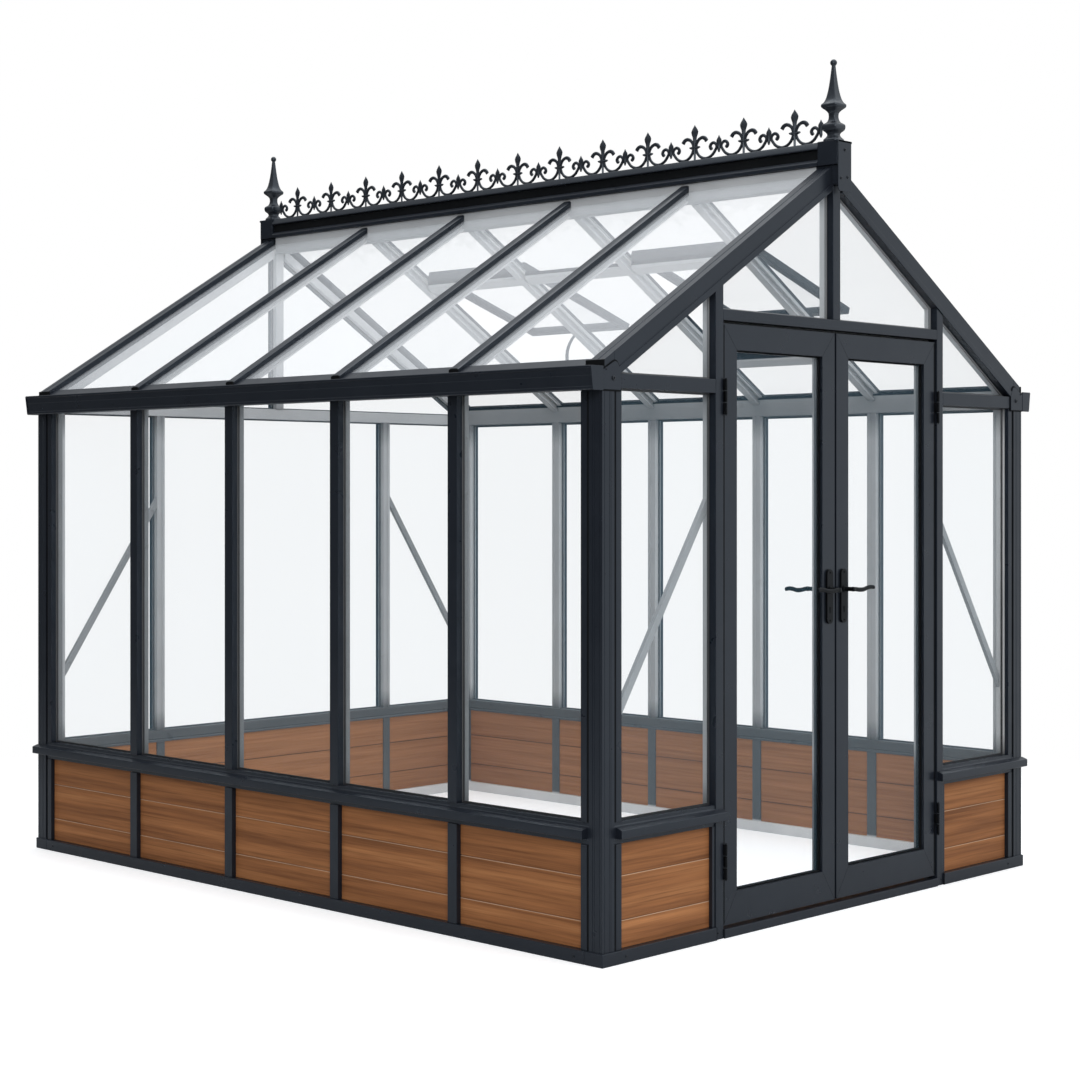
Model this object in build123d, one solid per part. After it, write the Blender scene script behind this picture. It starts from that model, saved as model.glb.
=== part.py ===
from build123d import *
import os
import math

os.makedirs("parts", exist_ok=True)

# ---------------------------------------------------------------- driving sizes (mm)
BASE_W = 2440.0        # over the base rails, side to side
BASE_L = 3120.0        # over the base rails, front to back
RAIL_H = 42.0          # base rail height
RAIL_D = 76.0          # base rail width
INSET = 6.0            # wall faces stand this far inside the base rail
POST = 56.0            # corner post
END_BAR = 36.0         # glazing bar beside a corner post
END_BACK = 5.0         # its face lies this far behind the post face
BAR_W = 44.0           # glazing bar between two bays
BAR_D = 56.0           # wall depth
BAYS = 5               # bays along each long wall
GLASS_T = 5.0
GLASS_IN = 32.0        # glass face behind the wall face
BOARD_IN = 17.0        # board face behind the wall face
BOARD_T = 28.0
TRANSOM_LO = 370.0
TRANSOM_HI = 438.0
SILL_LO = 388.0
SILL_HI = 420.0
SILL_OUT = 24.0
EAVE_Z = 1776.0        # top of posts and wall glass
EAVE_RAIL_HI = 1822.0
PITCH = 31.5           # roof slope, degrees
APEX_Z = 2600.0        # roof bar top line at the middle
CAP_D = 30.0           # part of a roof bar that runs on over the eave beam
ROOF_BAR_D = 56.0      # roof bar depth square to the slope
RAFTER_D = 72.0        # gable rafter depth square to the slope
RAFTER_W = 60.0        # gable rafter width along the ridge
BAR_END = 1206.0       # roof bars end this far from the middle
ROOF_GLASS_IN = 20.0
GUTTER_OUT = 58.0      # gutter lip beyond the wall face
DOOR_POST_IN = 625.0   # half the doorway width
DOOR_POST_W = 40.0
HEADER_LO = 2016.0
HEADER_HI = 2052.0
KING_W = 42.0
RIDGE_W = 60.0
RIDGE_LO = 2520.0
RIDGE_HI = 2646.0      # underside of the ridge cap
RIDGE_CAP = 26.0
RIDGE_END = 84.0       # sleeve at each end of the ridge
RIDGE_OVER = 30.0      # ridge runs past the gable faces
LEAF_LO = 40.0
LEAF_HI = 2006.0
LEAF_IN = 6.0          # door face behind the wall face
LEAF_T = 44.0
LEAF_GAP = 6.0
MEET_GAP = 5.0         # half the gap between the leaves
STILE = 71.0
LEAF_TOP = 84.0
LEAF_BOT = 104.0
HANDLE_Z = 1117.0
HINGE_Z = (250.0, 1766.0)
HINGE_H = 116.0
HINGE_R = 8.0
VENT_X = 340.0         # roof vent hinge line, from the middle
VENT_L = 700.0         # roof vent, hinge to lower edge
VENT_OPEN = 13.0       # propped open by this many degrees
VENT_T = 28.0
VENT_BAR = 34.0
BRACE_LO = 720.0
BRACE_HI = 1410.0

XO = BASE_W / 2 - INSET
YO = BASE_L / 2 - INSET
T = math.tan(math.radians(PITCH))
C = math.cos(math.radians(PITCH))
S = math.sin(math.radians(PITCH))
FRONT_MOST = -1600.0   # lever faces
BACK_MOST = YO + RIDGE_OVER + 4.0
SHIFT_Y = -(FRONT_MOST + BACK_MOST) / 2


def box(x0, x1, y0, y1, z0, z1):
    return Pos((x0 + x1) / 2, (y0 + y1) / 2, (z0 + z1) / 2) * Box(abs(x1 - x0), abs(y1 - y0), abs(z1 - z0))


def prism_y(points, y0, y1):
    """Outline given in x, z and drawn out from y0 to y1."""
    face = make_face(Polyline(*[(x, y0, z) for x, z in points], close=True))
    return extrude(face, amount=y1 - y0, dir=(0, 1, 0))


def prism_x(points, x0, x1):
    """Outline given in y, z and drawn out from x0 to x1."""
    face = make_face(Polyline(*[(x0, y, z) for y, z in points], close=True))
    return extrude(face, amount=x1 - x0, dir=(1, 0, 0))


def cyl_y(x, z, r, y0, y1):
    return Pos(x, (y0 + y1) / 2, z) * Rot(90, 0, 0) * Cylinder(r, abs(y1 - y0))


def cyl_z(x, y, r, z0, z1):
    return Pos(x, y, (z0 + z1) / 2) * Cylinder(r, z1 - z0)


def mirror_x(shape):
    return mirror(shape, about=Plane.YZ)


def mirror_y(shape):
    return mirror(shape, about=Plane.XZ)


def roof_z(x, depth=0.0):
    """Height of the line lying depth below the roof bar tops."""
    return APEX_Z - abs(x) * T - depth / C


def save(name, solids):
    flat = []
    for s in solids:
        flat.extend(s.solids())
    moved = [Pos(0, SHIFT_Y, 0) * s for s in flat]
    shape = moved[0] if len(moved) == 1 else Compound(children=moved)
    export_step(shape, "parts/" + name + ".step")


# ---------------------------------------------------------------- base
BX, BY = BASE_W / 2, BASE_L / 2
DPO = DOOR_POST_IN + DOOR_POST_W
save("side_base_rails", [box(-BX, -BX + RAIL_D, -BY + RAIL_D, BY - RAIL_D, 0, RAIL_H),
                         box(BX - RAIL_D, BX, -BY + RAIL_D, BY - RAIL_D, 0, RAIL_H)])
save("gable_base_rails", [box(-BX, BX, BY - RAIL_D, BY, 0, RAIL_H),
                          box(-BX, -DPO, -BY, -BY + RAIL_D, 0, RAIL_H),
                          box(DPO, BX, -BY, -BY + RAIL_D, 0, RAIL_H)])
save("door_threshold", [box(-DOOR_POST_IN, DOOR_POST_IN, -BY, -BY + RAIL_D, 0, 30.0)])

# ---------------------------------------------------------------- posts
corner = box(-XO, -XO + POST, -YO, -YO + POST, RAIL_H, EAVE_Z)
save("corner_posts", [corner, mirror_x(corner), mirror_y(corner), mirror_x(mirror_y(corner))])

dp = prism_y([(-DPO, 0), (-DOOR_POST_IN, 0), (-DOOR_POST_IN, roof_z(DOOR_POST_IN, RAFTER_D)),
              (-DPO, roof_z(DPO, RAFTER_D))], -YO, -YO + BAR_D)
save("door_posts", [dp, mirror_x(dp)])

bp_lo = box(-DPO, -DOOR_POST_IN, YO - BAR_D, YO, RAIL_H, TRANSOM_LO)
bp_hi = box(-DPO, -DOOR_POST_IN, YO - BAR_D, YO, TRANSOM_HI, EAVE_Z)

# ---------------------------------------------------------------- long walls
Y_IN = YO - POST
Y_BAY = Y_IN - END_BAR
PANE = (2 * Y_BAY - (BAYS - 1) * BAR_W) / BAYS
PITCH_Y = PANE + BAR_W
BAR_Y = [(-(BAYS - 2) / 2 + i) * PITCH_Y for i in range(BAYS - 1)]
EDGES = [-Y_BAY] + [v for y in BAR_Y for v in (y - BAR_W / 2, y + BAR_W / 2)] + [Y_BAY]
BAY_Y = [(EDGES[2 * i], EDGES[2 * i + 1]) for i in range(BAYS)]

bars, boards, panes = [], [], []
for z0, z1 in ((RAIL_H, TRANSOM_LO), (TRANSOM_HI, EAVE_Z)):
    for y in BAR_Y:
        bars.append(box(-XO, -XO + BAR_D, y - BAR_W / 2, y + BAR_W / 2, z0, z1))
    for s in (-1, 1):
        bars.append(box(-XO + END_BACK, -XO + BAR_D, s * Y_BAY, s * Y_IN, z0, z1))
for y0, y1 in BAY_Y:
    boards.append(box(-XO + BOARD_IN, -XO + BOARD_IN + BOARD_T, y0, y1, RAIL_H, TRANSOM_LO))
    panes.append(box(-XO + GLASS_IN, -XO + GLASS_IN + GLASS_T, y0, y1, TRANSOM_HI, EAVE_Z))


def sill_outline(face, out):
    """Transom with its projecting sill; face is the wall face, out its outward sign."""
    return [(face - out * BAR_D, TRANSOM_LO), (face, TRANSOM_LO), (face, SILL_LO), (face + out * SILL_OUT, SILL_LO),
            (face + out * SILL_OUT, SILL_HI - 5), (face, SILL_HI + 3), (face, TRANSOM_HI), (face - out * BAR_D, TRANSOM_HI)]


def nose_outline(face, out):
    return [(face, SILL_LO), (face + out * SILL_OUT, SILL_LO), (face + out * SILL_OUT, SILL_HI - 5), (face, SILL_HI + 3)]


# at the far corner the nose runs on across the post, to the end of the base rail
side_sill = prism_y(sill_outline(-XO, -1), -Y_IN, Y_IN) + prism_y(nose_outline(-XO, -1), Y_IN, BASE_L / 2)
save("left_wall_bars", bars)
save("right_wall_bars", [mirror_x(b) for b in bars])
save("left_wall_boards", boards)
save("right_wall_boards", [mirror_x(b) for b in boards])
save("left_wall_glass", panes)
save("right_wall_glass", [mirror_x(b) for b in panes])
save("side_sills", [side_sill, mirror_x(side_sill)])

# ---------------------------------------------------------------- front and back walls
X_IN = XO - POST
X_BAY = X_IN - END_BAR
front_bars = []
for z0, z1 in ((RAIL_H, TRANSOM_LO), (TRANSOM_HI, EAVE_Z)):
    front_bars.append(box(-X_IN, -X_BAY, -YO + END_BACK, -YO + BAR_D, z0, z1))
front_bars += [mirror_x(b) for b in front_bars]
back_bars = [mirror_y(b) for b in front_bars] + [bp_lo, bp_hi, mirror_x(bp_lo), mirror_x(bp_hi)]
side_board = box(-X_BAY, -DPO, -YO + BOARD_IN, -YO + BOARD_IN + BOARD_T, RAIL_H, TRANSOM_LO)
mid_board = box(-DOOR_POST_IN, DOOR_POST_IN, YO - BOARD_IN - BOARD_T, YO - BOARD_IN, RAIL_H, TRANSOM_LO)
side_pane = box(-X_BAY, -DPO, -YO + GLASS_IN, -YO + GLASS_IN + GLASS_T, TRANSOM_HI, EAVE_Z)
mid_pane = box(-DOOR_POST_IN, DOOR_POST_IN, YO - GLASS_IN - GLASS_T, YO - GLASS_IN, TRANSOM_HI, EAVE_Z)
# the nose of the front sill runs on across the face of the door post
front_nose = prism_x(nose_outline(-YO, -1), -DPO, -DOOR_POST_IN - 2.0)
# and at the far corner across the corner post
far_nose = prism_x(nose_outline(-YO, -1), X_IN, BASE_W / 2)
front_sill = prism_x(sill_outline(-YO, -1), -X_IN, -DPO) + front_nose
back_sill = prism_x(sill_outline(YO, 1), -X_IN, X_IN)
save("gable_wall_bars", front_bars + back_bars)
save("front_wall_boards", [side_board, mirror_x(side_board)])
save("back_wall_boards", [mirror_y(side_board), mirror_x(mirror_y(side_board)), mid_board])
save("front_wall_glass", [side_pane, mirror_x(side_pane)])
save("back_wall_glass", [mirror_y(side_pane), mirror_x(mirror_y(side_pane)), mid_pane])
save("gable_sills", [front_sill, mirror_x(front_sill) + far_nose, back_sill])

# ---------------------------------------------------------------- eaves
EB_IN = XO - BAR_D
eave = prism_y([(-XO, EAVE_Z), (-XO, roof_z(XO, CAP_D)), (-EB_IN, roof_z(EB_IN, CAP_D)), (-EB_IN, EAVE_Z)], -YO, YO)
save("eave_beams", [eave, mirror_x(eave)])
G0, G1 = EAVE_Z - 8.0, 1842.0
trough = prism_y([(-XO, G0), (-XO - 46, G0), (-XO - GUTTER_OUT, G1), (-XO - GUTTER_OUT + 5, G1),
                  (-XO - 42, G0 + 4), (-XO, G0 + 4)], -YO - 6, YO + 6)
gcap = prism_y([(-XO, G0 + 2), (-XO - 45, G0 + 2), (-XO - GUTTER_OUT + 1, G1), (-XO, G1)], -YO - 6, -YO - 2)
gutter = trough + gcap + mirror_y(gcap)
save("left_gutter", [gutter])
save("right_gutter", [mirror_x(gutter)])

# ---------------------------------------------------------------- gables
RI = RIDGE_W / 2


def sloped(depth, y0, y1, web_end):
    cap = [(-RI, roof_z(RI)), (-BAR_END, roof_z(BAR_END)), (-BAR_END, roof_z(BAR_END, CAP_D)),
           (-web_end, roof_z(web_end, CAP_D)), (-web_end, roof_z(web_end, depth)), (-RI, roof_z(RI, depth))]
    return prism_y(cap, y0, y1)


rafter = sloped(RAFTER_D, -YO, -YO + RAFTER_W, EB_IN)


def under(x):
    return roof_z(x, RAFTER_D)


X_TIP = (APEX_Z - RAFTER_D / C - EAVE_RAIL_HI) / T
# the rafter foot stands on the eave beam, so the rail stops under it
save("gable_rafters", [rafter, mirror_x(rafter), mirror_y(rafter), mirror_x(mirror_y(rafter))])
back_rail = prism_y([(-EB_IN, EAVE_Z), (EB_IN, EAVE_Z), (EB_IN, min(EAVE_RAIL_HI, under(EB_IN))), (X_TIP, EAVE_RAIL_HI),
                     (-X_TIP, EAVE_RAIL_HI), (-EB_IN, min(EAVE_RAIL_HI, under(EB_IN)))], YO - BAR_D, YO)
front_rail = prism_y([(-EB_IN, EAVE_Z), (-DPO, EAVE_Z), (-DPO, EAVE_RAIL_HI), (-X_TIP, EAVE_RAIL_HI),
                      (-EB_IN, min(EAVE_RAIL_HI, under(EB_IN)))], -YO, -YO + BAR_D)
save("gable_eave_rails", [front_rail, mirror_x(front_rail), back_rail])
save("door_header", [box(-DOOR_POST_IN, DOOR_POST_IN, -YO, -YO + BAR_D, HEADER_LO, HEADER_HI)])
KH = KING_W / 2
save("king_posts", [box(-KH, KH, -YO, -YO + RAFTER_W, HEADER_HI, RIDGE_LO),
                    box(-KH, KH, YO - RAFTER_W, YO, EAVE_RAIL_HI, RIDGE_LO)])
gy0, gy1 = -YO + GLASS_IN, -YO + GLASS_IN + GLASS_T
low_pane = prism_y([(-X_TIP + 3, EAVE_RAIL_HI), (-DPO, EAVE_RAIL_HI), (-DPO, under(DPO)), ], gy0, gy1)
top_pane = prism_y([(-DOOR_POST_IN, HEADER_HI), (-KH, HEADER_HI), (-KH, under(RI)), (-RI, under(RI)),
                    (-DOOR_POST_IN, under(DOOR_POST_IN))], gy0, gy1)
save("front_gable_glass", [low_pane, mirror_x(low_pane), top_pane, mirror_x(top_pane)])
back_pane = prism_y([(-X_TIP + 3, EAVE_RAIL_HI), (-KH, EAVE_RAIL_HI), (-KH, under(RI)), (-RI, under(RI))], -gy1, -gy0)
save("back_gable_glass", [back_pane, mirror_x(back_pane)])

plate_pts = [(-XO, EAVE_Z - 6), (-XO + 82, EAVE_Z - 6), (-XO + 82, EAVE_Z + 50), (-XO + 62, roof_z(XO - 62, 26)), (-XO, roof_z(XO, 22))]
ebr = prism_y(plate_pts, -YO - 5, -YO)
save("eave_brackets", [ebr, mirror_x(ebr), mirror_y(ebr), mirror_x(mirror_y(ebr))])

brace_in = 40.0
bw = 23.0
br = prism_y([(-X_BAY, BRACE_LO - bw), (-DPO, BRACE_HI - bw), (-DPO, BRACE_HI + bw), (-X_BAY, BRACE_LO + bw)],
             -YO + brace_in, -YO + BAR_D)
save("gable_braces", [br, mirror_x(br), mirror_y(br), mirror_x(mirror_y(br))])

# ---------------------------------------------------------------- roof
roof_bars = [sloped(ROOF_BAR_D, y - BAR_W / 2, y + BAR_W / 2, EB_IN) for y in BAR_Y]
save("left_roof_bars", roof_bars)
save("right_roof_bars", [mirror_x(b) for b in roof_bars])
rg = [(-RI, roof_z(RI, ROOF_GLASS_IN)), (-BAR_END + 8, roof_z(BAR_END - 8, ROOF_GLASS_IN)),
      (-BAR_END + 8, roof_z(BAR_END - 8, ROOF_GLASS_IN + GLASS_T)), (-RI, roof_z(RI, ROOF_GLASS_IN + GLASS_T))]
RY = YO - RAFTER_W
r_edges = [-RY] + [v for y in BAR_Y for v in (y - BAR_W / 2, y + BAR_W / 2)] + [RY]
roof_panes = [prism_y(rg, r_edges[2 * i], r_edges[2 * i + 1]) for i in range(BAYS)]
save("left_roof_glass", roof_panes)

# two vents on the right slope, propped open, in the second and fourth bays
VENT_BAYS = (1, 3)
VA = math.radians(PITCH - VENT_OPEN)
VH_X = VENT_X
VH_Z = roof_z(VH_X) + 2.0
UP_X0, UP_X1 = VENT_X - 18.0, VENT_X + 18.0
VENT_END = VENT_X + VENT_L * C
TRIM_X0, TRIM_X1 = VENT_END - 34.0, VENT_END + 6.0


def slope_piece(x0, x1, d0, d1, y0, y1):
    """Piece on the right slope from x0 to x1, d0 to d1 below the bar tops."""
    return prism_y([(x0, roof_z(x0, d0)), (x1, roof_z(x1, d0)), (x1, roof_z(x1, d1)), (x0, roof_z(x0, d1))], y0, y1)


def vent_at(u, w):
    return (VH_X + u * math.cos(VA) + w * math.sin(VA), VH_Z - u * math.sin(VA) + w * math.cos(VA))


def vent_piece(u0, u1, w0, w1, y0, y1):
    return prism_y([vent_at(u0, w0), vent_at(u1, w0), vent_at(u1, w1), vent_at(u0, w1)], y0, y1)


right_panes, vent_frames, vent_glass, vent_trims, vent_stays = [], [], [], [], []
G_A, G_B = ROOF_GLASS_IN, ROOF_GLASS_IN + GLASS_T
for i in range(BAYS):
    y0, y1 = r_edges[2 * i], r_edges[2 * i + 1]
    if i not in VENT_BAYS:
        right_panes.append(mirror_x(roof_panes[i]))
        if VENT_BAYS[0] < i < VENT_BAYS[1]:
            vent_trims.append(slope_piece(UP_X0, UP_X1, G_B, 50, y0, y1))
        continue
    right_panes.append(slope_piece(RI, UP_X0, G_A, G_B, y0, y1))
    right_panes.append(slope_piece(TRIM_X1, BAR_END - 8, G_A, G_B, y0, y1))
    vent_trims.append(slope_piece(UP_X0, UP_X1, 2, 50, y0, y1))
    vent_trims.append(slope_piece(TRIM_X0, TRIM_X1, 2, 44, y0, y1))
    va, vb = y0 - 20.0, y1 + 20.0
    vent_frames += [vent_piece(0, VENT_L, 0, VENT_T, va, va + VENT_BAR), vent_piece(0, VENT_L, 0, VENT_T, vb - VENT_BAR, vb),
                    vent_piece(0, VENT_BAR, 0, VENT_T, va + VENT_BAR + 0.3, vb - VENT_BAR - 0.3),
                    vent_piece(VENT_L - VENT_BAR, VENT_L, 0, VENT_T, va + VENT_BAR + 0.3, vb - VENT_BAR - 0.3)]
    vent_glass.append(vent_piece(VENT_BAR, VENT_L - VENT_BAR, 12, 12 + GLASS_T, va + VENT_BAR, vb - VENT_BAR))
    ym = (va + vb) / 2
    ex, ez = vent_at(VENT_L - 17, 0)
    bx, bz = TRIM_X0 + 20.0, roof_z(TRIM_X0 + 20.0, 2.0)
    n = 8
    inner, outer = [], []
    for k in range(n + 1):
        f = k / n
        bow = 26.0 * math.sin(math.pi * f)
        px, pz = bx + (ex - bx) * f - bow, bz + (ez - bz) * f
        inner.append((px - 8, pz))
        outer.append((px + 8, pz))
    inner[0] = (bx - 8, roof_z(bx - 8, 2))
    outer[0] = (bx + 8, roof_z(bx + 8, 2))
    inner[-1] = vent_at(VENT_L - 26, 0)
    outer[-1] = vent_at(VENT_L - 9, 0)
    vent_stays.append(prism_y(inner + outer[::-1], ym - 3, ym + 3))
save("right_roof_glass", right_panes)
save("roof_vent_frames", vent_frames)
save("roof_vent_glass", vent_glass)
save("roof_vent_trimmers", vent_trims)
save("roof_vent_stays", vent_stays)

RY1 = YO + RIDGE_OVER
RT = RIDGE_HI + RIDGE_CAP
R_FLANGE = APEX_Z - 12.0
RYM = RY1 - RIDGE_END
ridge = (box(-RI, RI, -RY1, RY1, RIDGE_LO, R_FLANGE) + box(-RI, RI, -RYM, RYM, R_FLANGE, RIDGE_HI)
         + box(-RI - 12, RI + 12, -RYM, RYM, RIDGE_HI, RT)
         + box(-RI - 14, RI + 14, -RYM, RYM, R_FLANGE, R_FLANGE + 12))
save("ridge_beam", [ridge])

rp_w, rp_lo, rp_r = 38.0, RT - 177.0, 12.0
rp = (box(-rp_w, rp_w, -RY1 - 4, -RY1, rp_lo + rp_r, RT) + box(-rp_w + rp_r, rp_w - rp_r, -RY1 - 4, -RY1, rp_lo, rp_lo + rp_r)
      + cyl_y(-rp_w + rp_r, rp_lo + rp_r, rp_r, -RY1 - 4, -RY1) + cyl_y(rp_w - rp_r, rp_lo + rp_r, rp_r, -RY1 - 4, -RY1)
      + box(-rp_w - 2, rp_w + 2, -RY1, -RYM, R_FLANGE, RT))
save("ridge_end_caps", [rp, mirror_y(rp)])

# ---------------------------------------------------------------- ridge ornament
FIN_Y = YO - 14.0


def square_spire(levels):
    parts = []
    for (z0, a0), (z1, a1) in zip(levels[:-1], levels[1:]):
        lo = make_face(Polyline((-a0, -a0, z0), (a0, -a0, z0), (a0, a0, z0), (-a0, a0, z0), close=True))
        hi = make_face(Polyline((-a1, -a1, z1), (a1, -a1, z1), (a1, a1, z1), (-a1, a1, z1), close=True))
        parts.append(loft([lo, hi], ruled=True))
    out = parts[0]
    for p in parts[1:]:
        out = out + p
    return out


FIN = [(0, 27), (8, 27), (23, 17), (40, 28), (53, 31), (60, 30), (69, 18), (86, 13), (101, 14.5), (119, 31), (126, 33.5),
       (131, 32.5), (138, 26), (153, 20), (183, 14), (220, 9.5), (257, 6), (270, 5)]
fin = square_spire([(RT + z, a) for z, a in FIN]) + Pos(0, 0, RT + 278) * Sphere(10)
save("ridge_finials", [Pos(0, -FIN_Y, 0) * fin, Pos(0, FIN_Y, 0) * fin])

N_LARGE = 13
CREST_L = 2 * (FIN_Y - 54.0)
STEP = CREST_L / N_LARGE


def strip(points, w):
    """Flat strip of width w along points in y, z."""
    left, right = [], []
    n = len(points)
    for i, (y, z) in enumerate(points):
        a = points[max(0, i - 1)]
        b = points[min(n - 1, i + 1)]
        dy, dz = b[0] - a[0], b[1] - a[1]
        k = math.hypot(dy, dz)
        left.append((y - dz / k * w / 2, z + dy / k * w / 2))
        right.append((y + dz / k * w / 2, z - dy / k * w / 2))
    return prism_x(left + right[::-1], -4.0, 4.0)


def crest_unit():
    h = STEP / 2
    large = prism_x([(-5, 0), (5, 0), (7, 50), (17, 92), (0, 134), (-17, 92), (-7, 50)], -4, 4)
    petal = strip([(5, 58), (16, 88), (32, 96), (44, 84)], 12)
    arm = strip([(6, 50), (18, 22), (42, 5), (66, 4), (90, 18), (h - 4, 46)], 8)
    curl = strip([(h - 10, 40), (h - 22, 58), (h - 36, 52), (h - 34, 40)], 8)
    small = prism_x([(h - 5, 28), (h + 5, 28), (h + 10, 66), (h, 92), (h - 10, 66)], -4, 4)
    half = petal + arm + curl
    return large + half + mirror_y(half) + small


unit = crest_unit()
first = prism_x([(-STEP / 2 - 5, 28), (-STEP / 2 + 5, 28), (-STEP / 2 + 10, 66), (-STEP / 2, 92), (-STEP / 2 - 10, 66)], -4, 4)
crest = unit + first
for i in range(1, N_LARGE):
    crest = crest + Pos(0, i * STEP, 0) * unit
crest = Pos(0, -(N_LARGE - 1) / 2 * STEP, RT) * crest
save("ridge_cresting", [crest])

# ---------------------------------------------------------------- double doors
LX0, LX1 = -DOOR_POST_IN + LEAF_GAP, -MEET_GAP
LY0, LY1 = -YO + LEAF_IN, -YO + LEAF_IN + LEAF_T
HX, HY = -DOOR_POST_IN + 3.0, -YO - HINGE_R
M = 0.3
GX0, GX1, GZ0, GZ1 = LX0 + STILE, LX1 - STILE, LEAF_LO + LEAF_BOT, LEAF_HI - LEAF_TOP
SPX = LX1 - 36.0
outer_stile = prism_y([(LX0, LEAF_LO), (GX0, GZ0), (GX0, GZ1), (LX0, LEAF_HI)], LY0, LY1)
inner_stile = prism_y([(LX1, LEAF_LO), (LX1, LEAF_HI), (GX1, GZ1), (GX1, GZ0)], LY0, LY1)
inner_stile = inner_stile - cyl_y(SPX, HANDLE_Z, 5.6, LY0 - 1, LY1 + 1)
top_rail = prism_y([(LX0 + M, LEAF_HI), (GX0 + M, GZ1), (GX1 - M, GZ1), (LX1 - M, LEAF_HI)], LY0, LY1)
bot_rail = prism_y([(LX0 + M, LEAF_LO), (LX1 - M, LEAF_LO), (GX1 - M, GZ0), (GX0 + M, GZ0)], LY0, LY1)
leaf = [outer_stile, inner_stile, top_rail, bot_rail]
leaf_glass = [box(GX0, GX1, LY0 + 19, LY0 + 24, GZ0, GZ1)]

hinge_fixed, hinge_leaf = [], []
third = HINGE_H / 3
for zc in HINGE_Z:
    z0, z1 = zc - HINGE_H / 2, zc + HINGE_H / 2
    plate = box(HX - 36, HX - 10, -YO - 4, -YO, z0, z1)
    for a, b in ((z0, z0 + third - 0.6), (z1 - third + 0.6, z1)):
        plate = plate + cyl_z(HX, HY, HINGE_R, a, b) + box(HX - 12, HX, -YO - 5, -YO, a, b)
    hinge_fixed.append(plate)
    wing = box(HX + 11, HX + 36, LY0 - 7, LY0, z0, z1)
    wing = wing + cyl_z(HX, HY, HINGE_R, z0 + third + 0.6, z1 - third - 0.6)
    wing = wing + box(HX, HX + 12, LY0 - 9, LY0 - 3, z0 + third + 0.6, z1 - third - 0.6)
    hinge_leaf.append(wing)

pz0, pz1, pw, pt = 999.0, 1187.0, 17.0, 8.0


def handle_plate(y0, y1):
    p = (box(SPX - pw, SPX + pw, y0, y1, pz0 + pw, pz1 - pw) + cyl_y(SPX, pz0 + pw, pw, y0, y1) + cyl_y(SPX, pz1 - pw, pw, y0, y1))
    return p - cyl_y(SPX, HANDLE_Z, 5.6, y0 - 1, y1 + 1)


plates = [handle_plate(LY0 - pt, LY0), handle_plate(LY1, LY1 + pt)]


def lever(y_face, out):
    ya, yb = y_face + out * 0.6, y_face + out * 44.0
    neck = cyl_y(SPX, HANDLE_Z, 9.0, min(ya, yb), max(ya, yb))
    grip = prism_y([(SPX + 9, HANDLE_Z - 9), (SPX + 9, HANDLE_Z + 9), (SPX - 40, HANDLE_Z + 7), (SPX - 85, HANDLE_Z + 12),
                    (SPX - 122, HANDLE_Z + 13), (SPX - 126, HANDLE_Z + 4), (SPX - 120, HANDLE_Z - 3), (SPX - 85, HANDLE_Z - 4),
                    (SPX - 40, HANDLE_Z - 9)], min(yb - out * 12, yb), max(yb - out * 12, yb))
    return neck + grip


left_lever = (lever(LY0 - pt, -1) + lever(LY1 + pt, 1) + cyl_y(SPX, HANDLE_Z, 5.0, LY0 - pt - 2, LY1 + pt + 2))

save("door_hinge_butts", hinge_fixed + [mirror_x(h) for h in hinge_fixed])
for side, f in (("left", lambda s: s), ("right", mirror_x)):
    save(side + "_door_frame", [f(s) for s in leaf])
    save(side + "_door_glass", [f(s) for s in leaf_glass])
    save(side + "_door_hinges", [f(s) for s in hinge_leaf])
    save(side + "_door_handle_plates", [f(s) for s in plates])
    save(side + "_door_lever", [f(left_lever)])
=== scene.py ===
import math

import bmesh
import bpy
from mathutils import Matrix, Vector


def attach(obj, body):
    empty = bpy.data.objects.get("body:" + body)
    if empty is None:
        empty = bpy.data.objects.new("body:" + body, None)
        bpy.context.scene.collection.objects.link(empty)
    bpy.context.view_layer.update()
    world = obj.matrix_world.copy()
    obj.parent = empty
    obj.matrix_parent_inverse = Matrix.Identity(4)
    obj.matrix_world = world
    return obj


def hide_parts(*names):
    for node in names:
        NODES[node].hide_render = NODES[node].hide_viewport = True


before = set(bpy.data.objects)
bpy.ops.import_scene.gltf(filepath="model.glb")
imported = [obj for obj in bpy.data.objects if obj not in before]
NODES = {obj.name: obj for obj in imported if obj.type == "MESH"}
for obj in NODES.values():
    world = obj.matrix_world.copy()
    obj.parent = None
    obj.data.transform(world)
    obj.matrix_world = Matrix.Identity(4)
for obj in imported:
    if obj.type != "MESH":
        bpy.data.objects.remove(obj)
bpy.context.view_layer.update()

# ------------------------------------------------------------------ sizes (mm), as the frame has them
SY = 6.0
XO, YO = 1214.0, 1554.0
BX, BY = 1220.0, 1560.0
RAIL_H, RAIL_D = 42.0, 76.0
POST, END_BAR, END_BACK, BAR_W, BAR_D = 56.0, 36.0, 5.0, 44.0, 56.0
TRANSOM_LO, TRANSOM_HI = 370.0, 438.0
SILL_LO, SILL_HI, SILL_OUT = 388.0, 420.0, 24.0
EAVE_Z, EAVE_RAIL_HI = 1776.0, 1822.0
T = math.tan(math.radians(31.5))
C = math.cos(math.radians(31.5))
APEX_Z = 2600.0
BAR_END = 1206.0
EB_IN = XO - BAR_D
RI = 30.0
DPI, DPO = 625.0, 665.0
Y_IN, X_IN = YO - POST, XO - POST
Y_BAY, X_BAY = Y_IN - END_BAR, X_IN - END_BAR
PANE = (2 * Y_BAY - 4 * BAR_W) / 5
BAR_Y = [(-1.5 + i) * (PANE + BAR_W) for i in range(4)]
EDGES = [-Y_BAY] + [v for y in BAR_Y for v in (y - BAR_W / 2, y + BAR_W / 2)] + [Y_BAY]
BAYS = [(EDGES[2 * i], EDGES[2 * i + 1]) for i in range(5)]
RAFTER_W, RAFTER_D = 60.0, 72.0
R_EDGES = [-(YO - RAFTER_W)] + EDGES[1:-1] + [YO - RAFTER_W]
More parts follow.
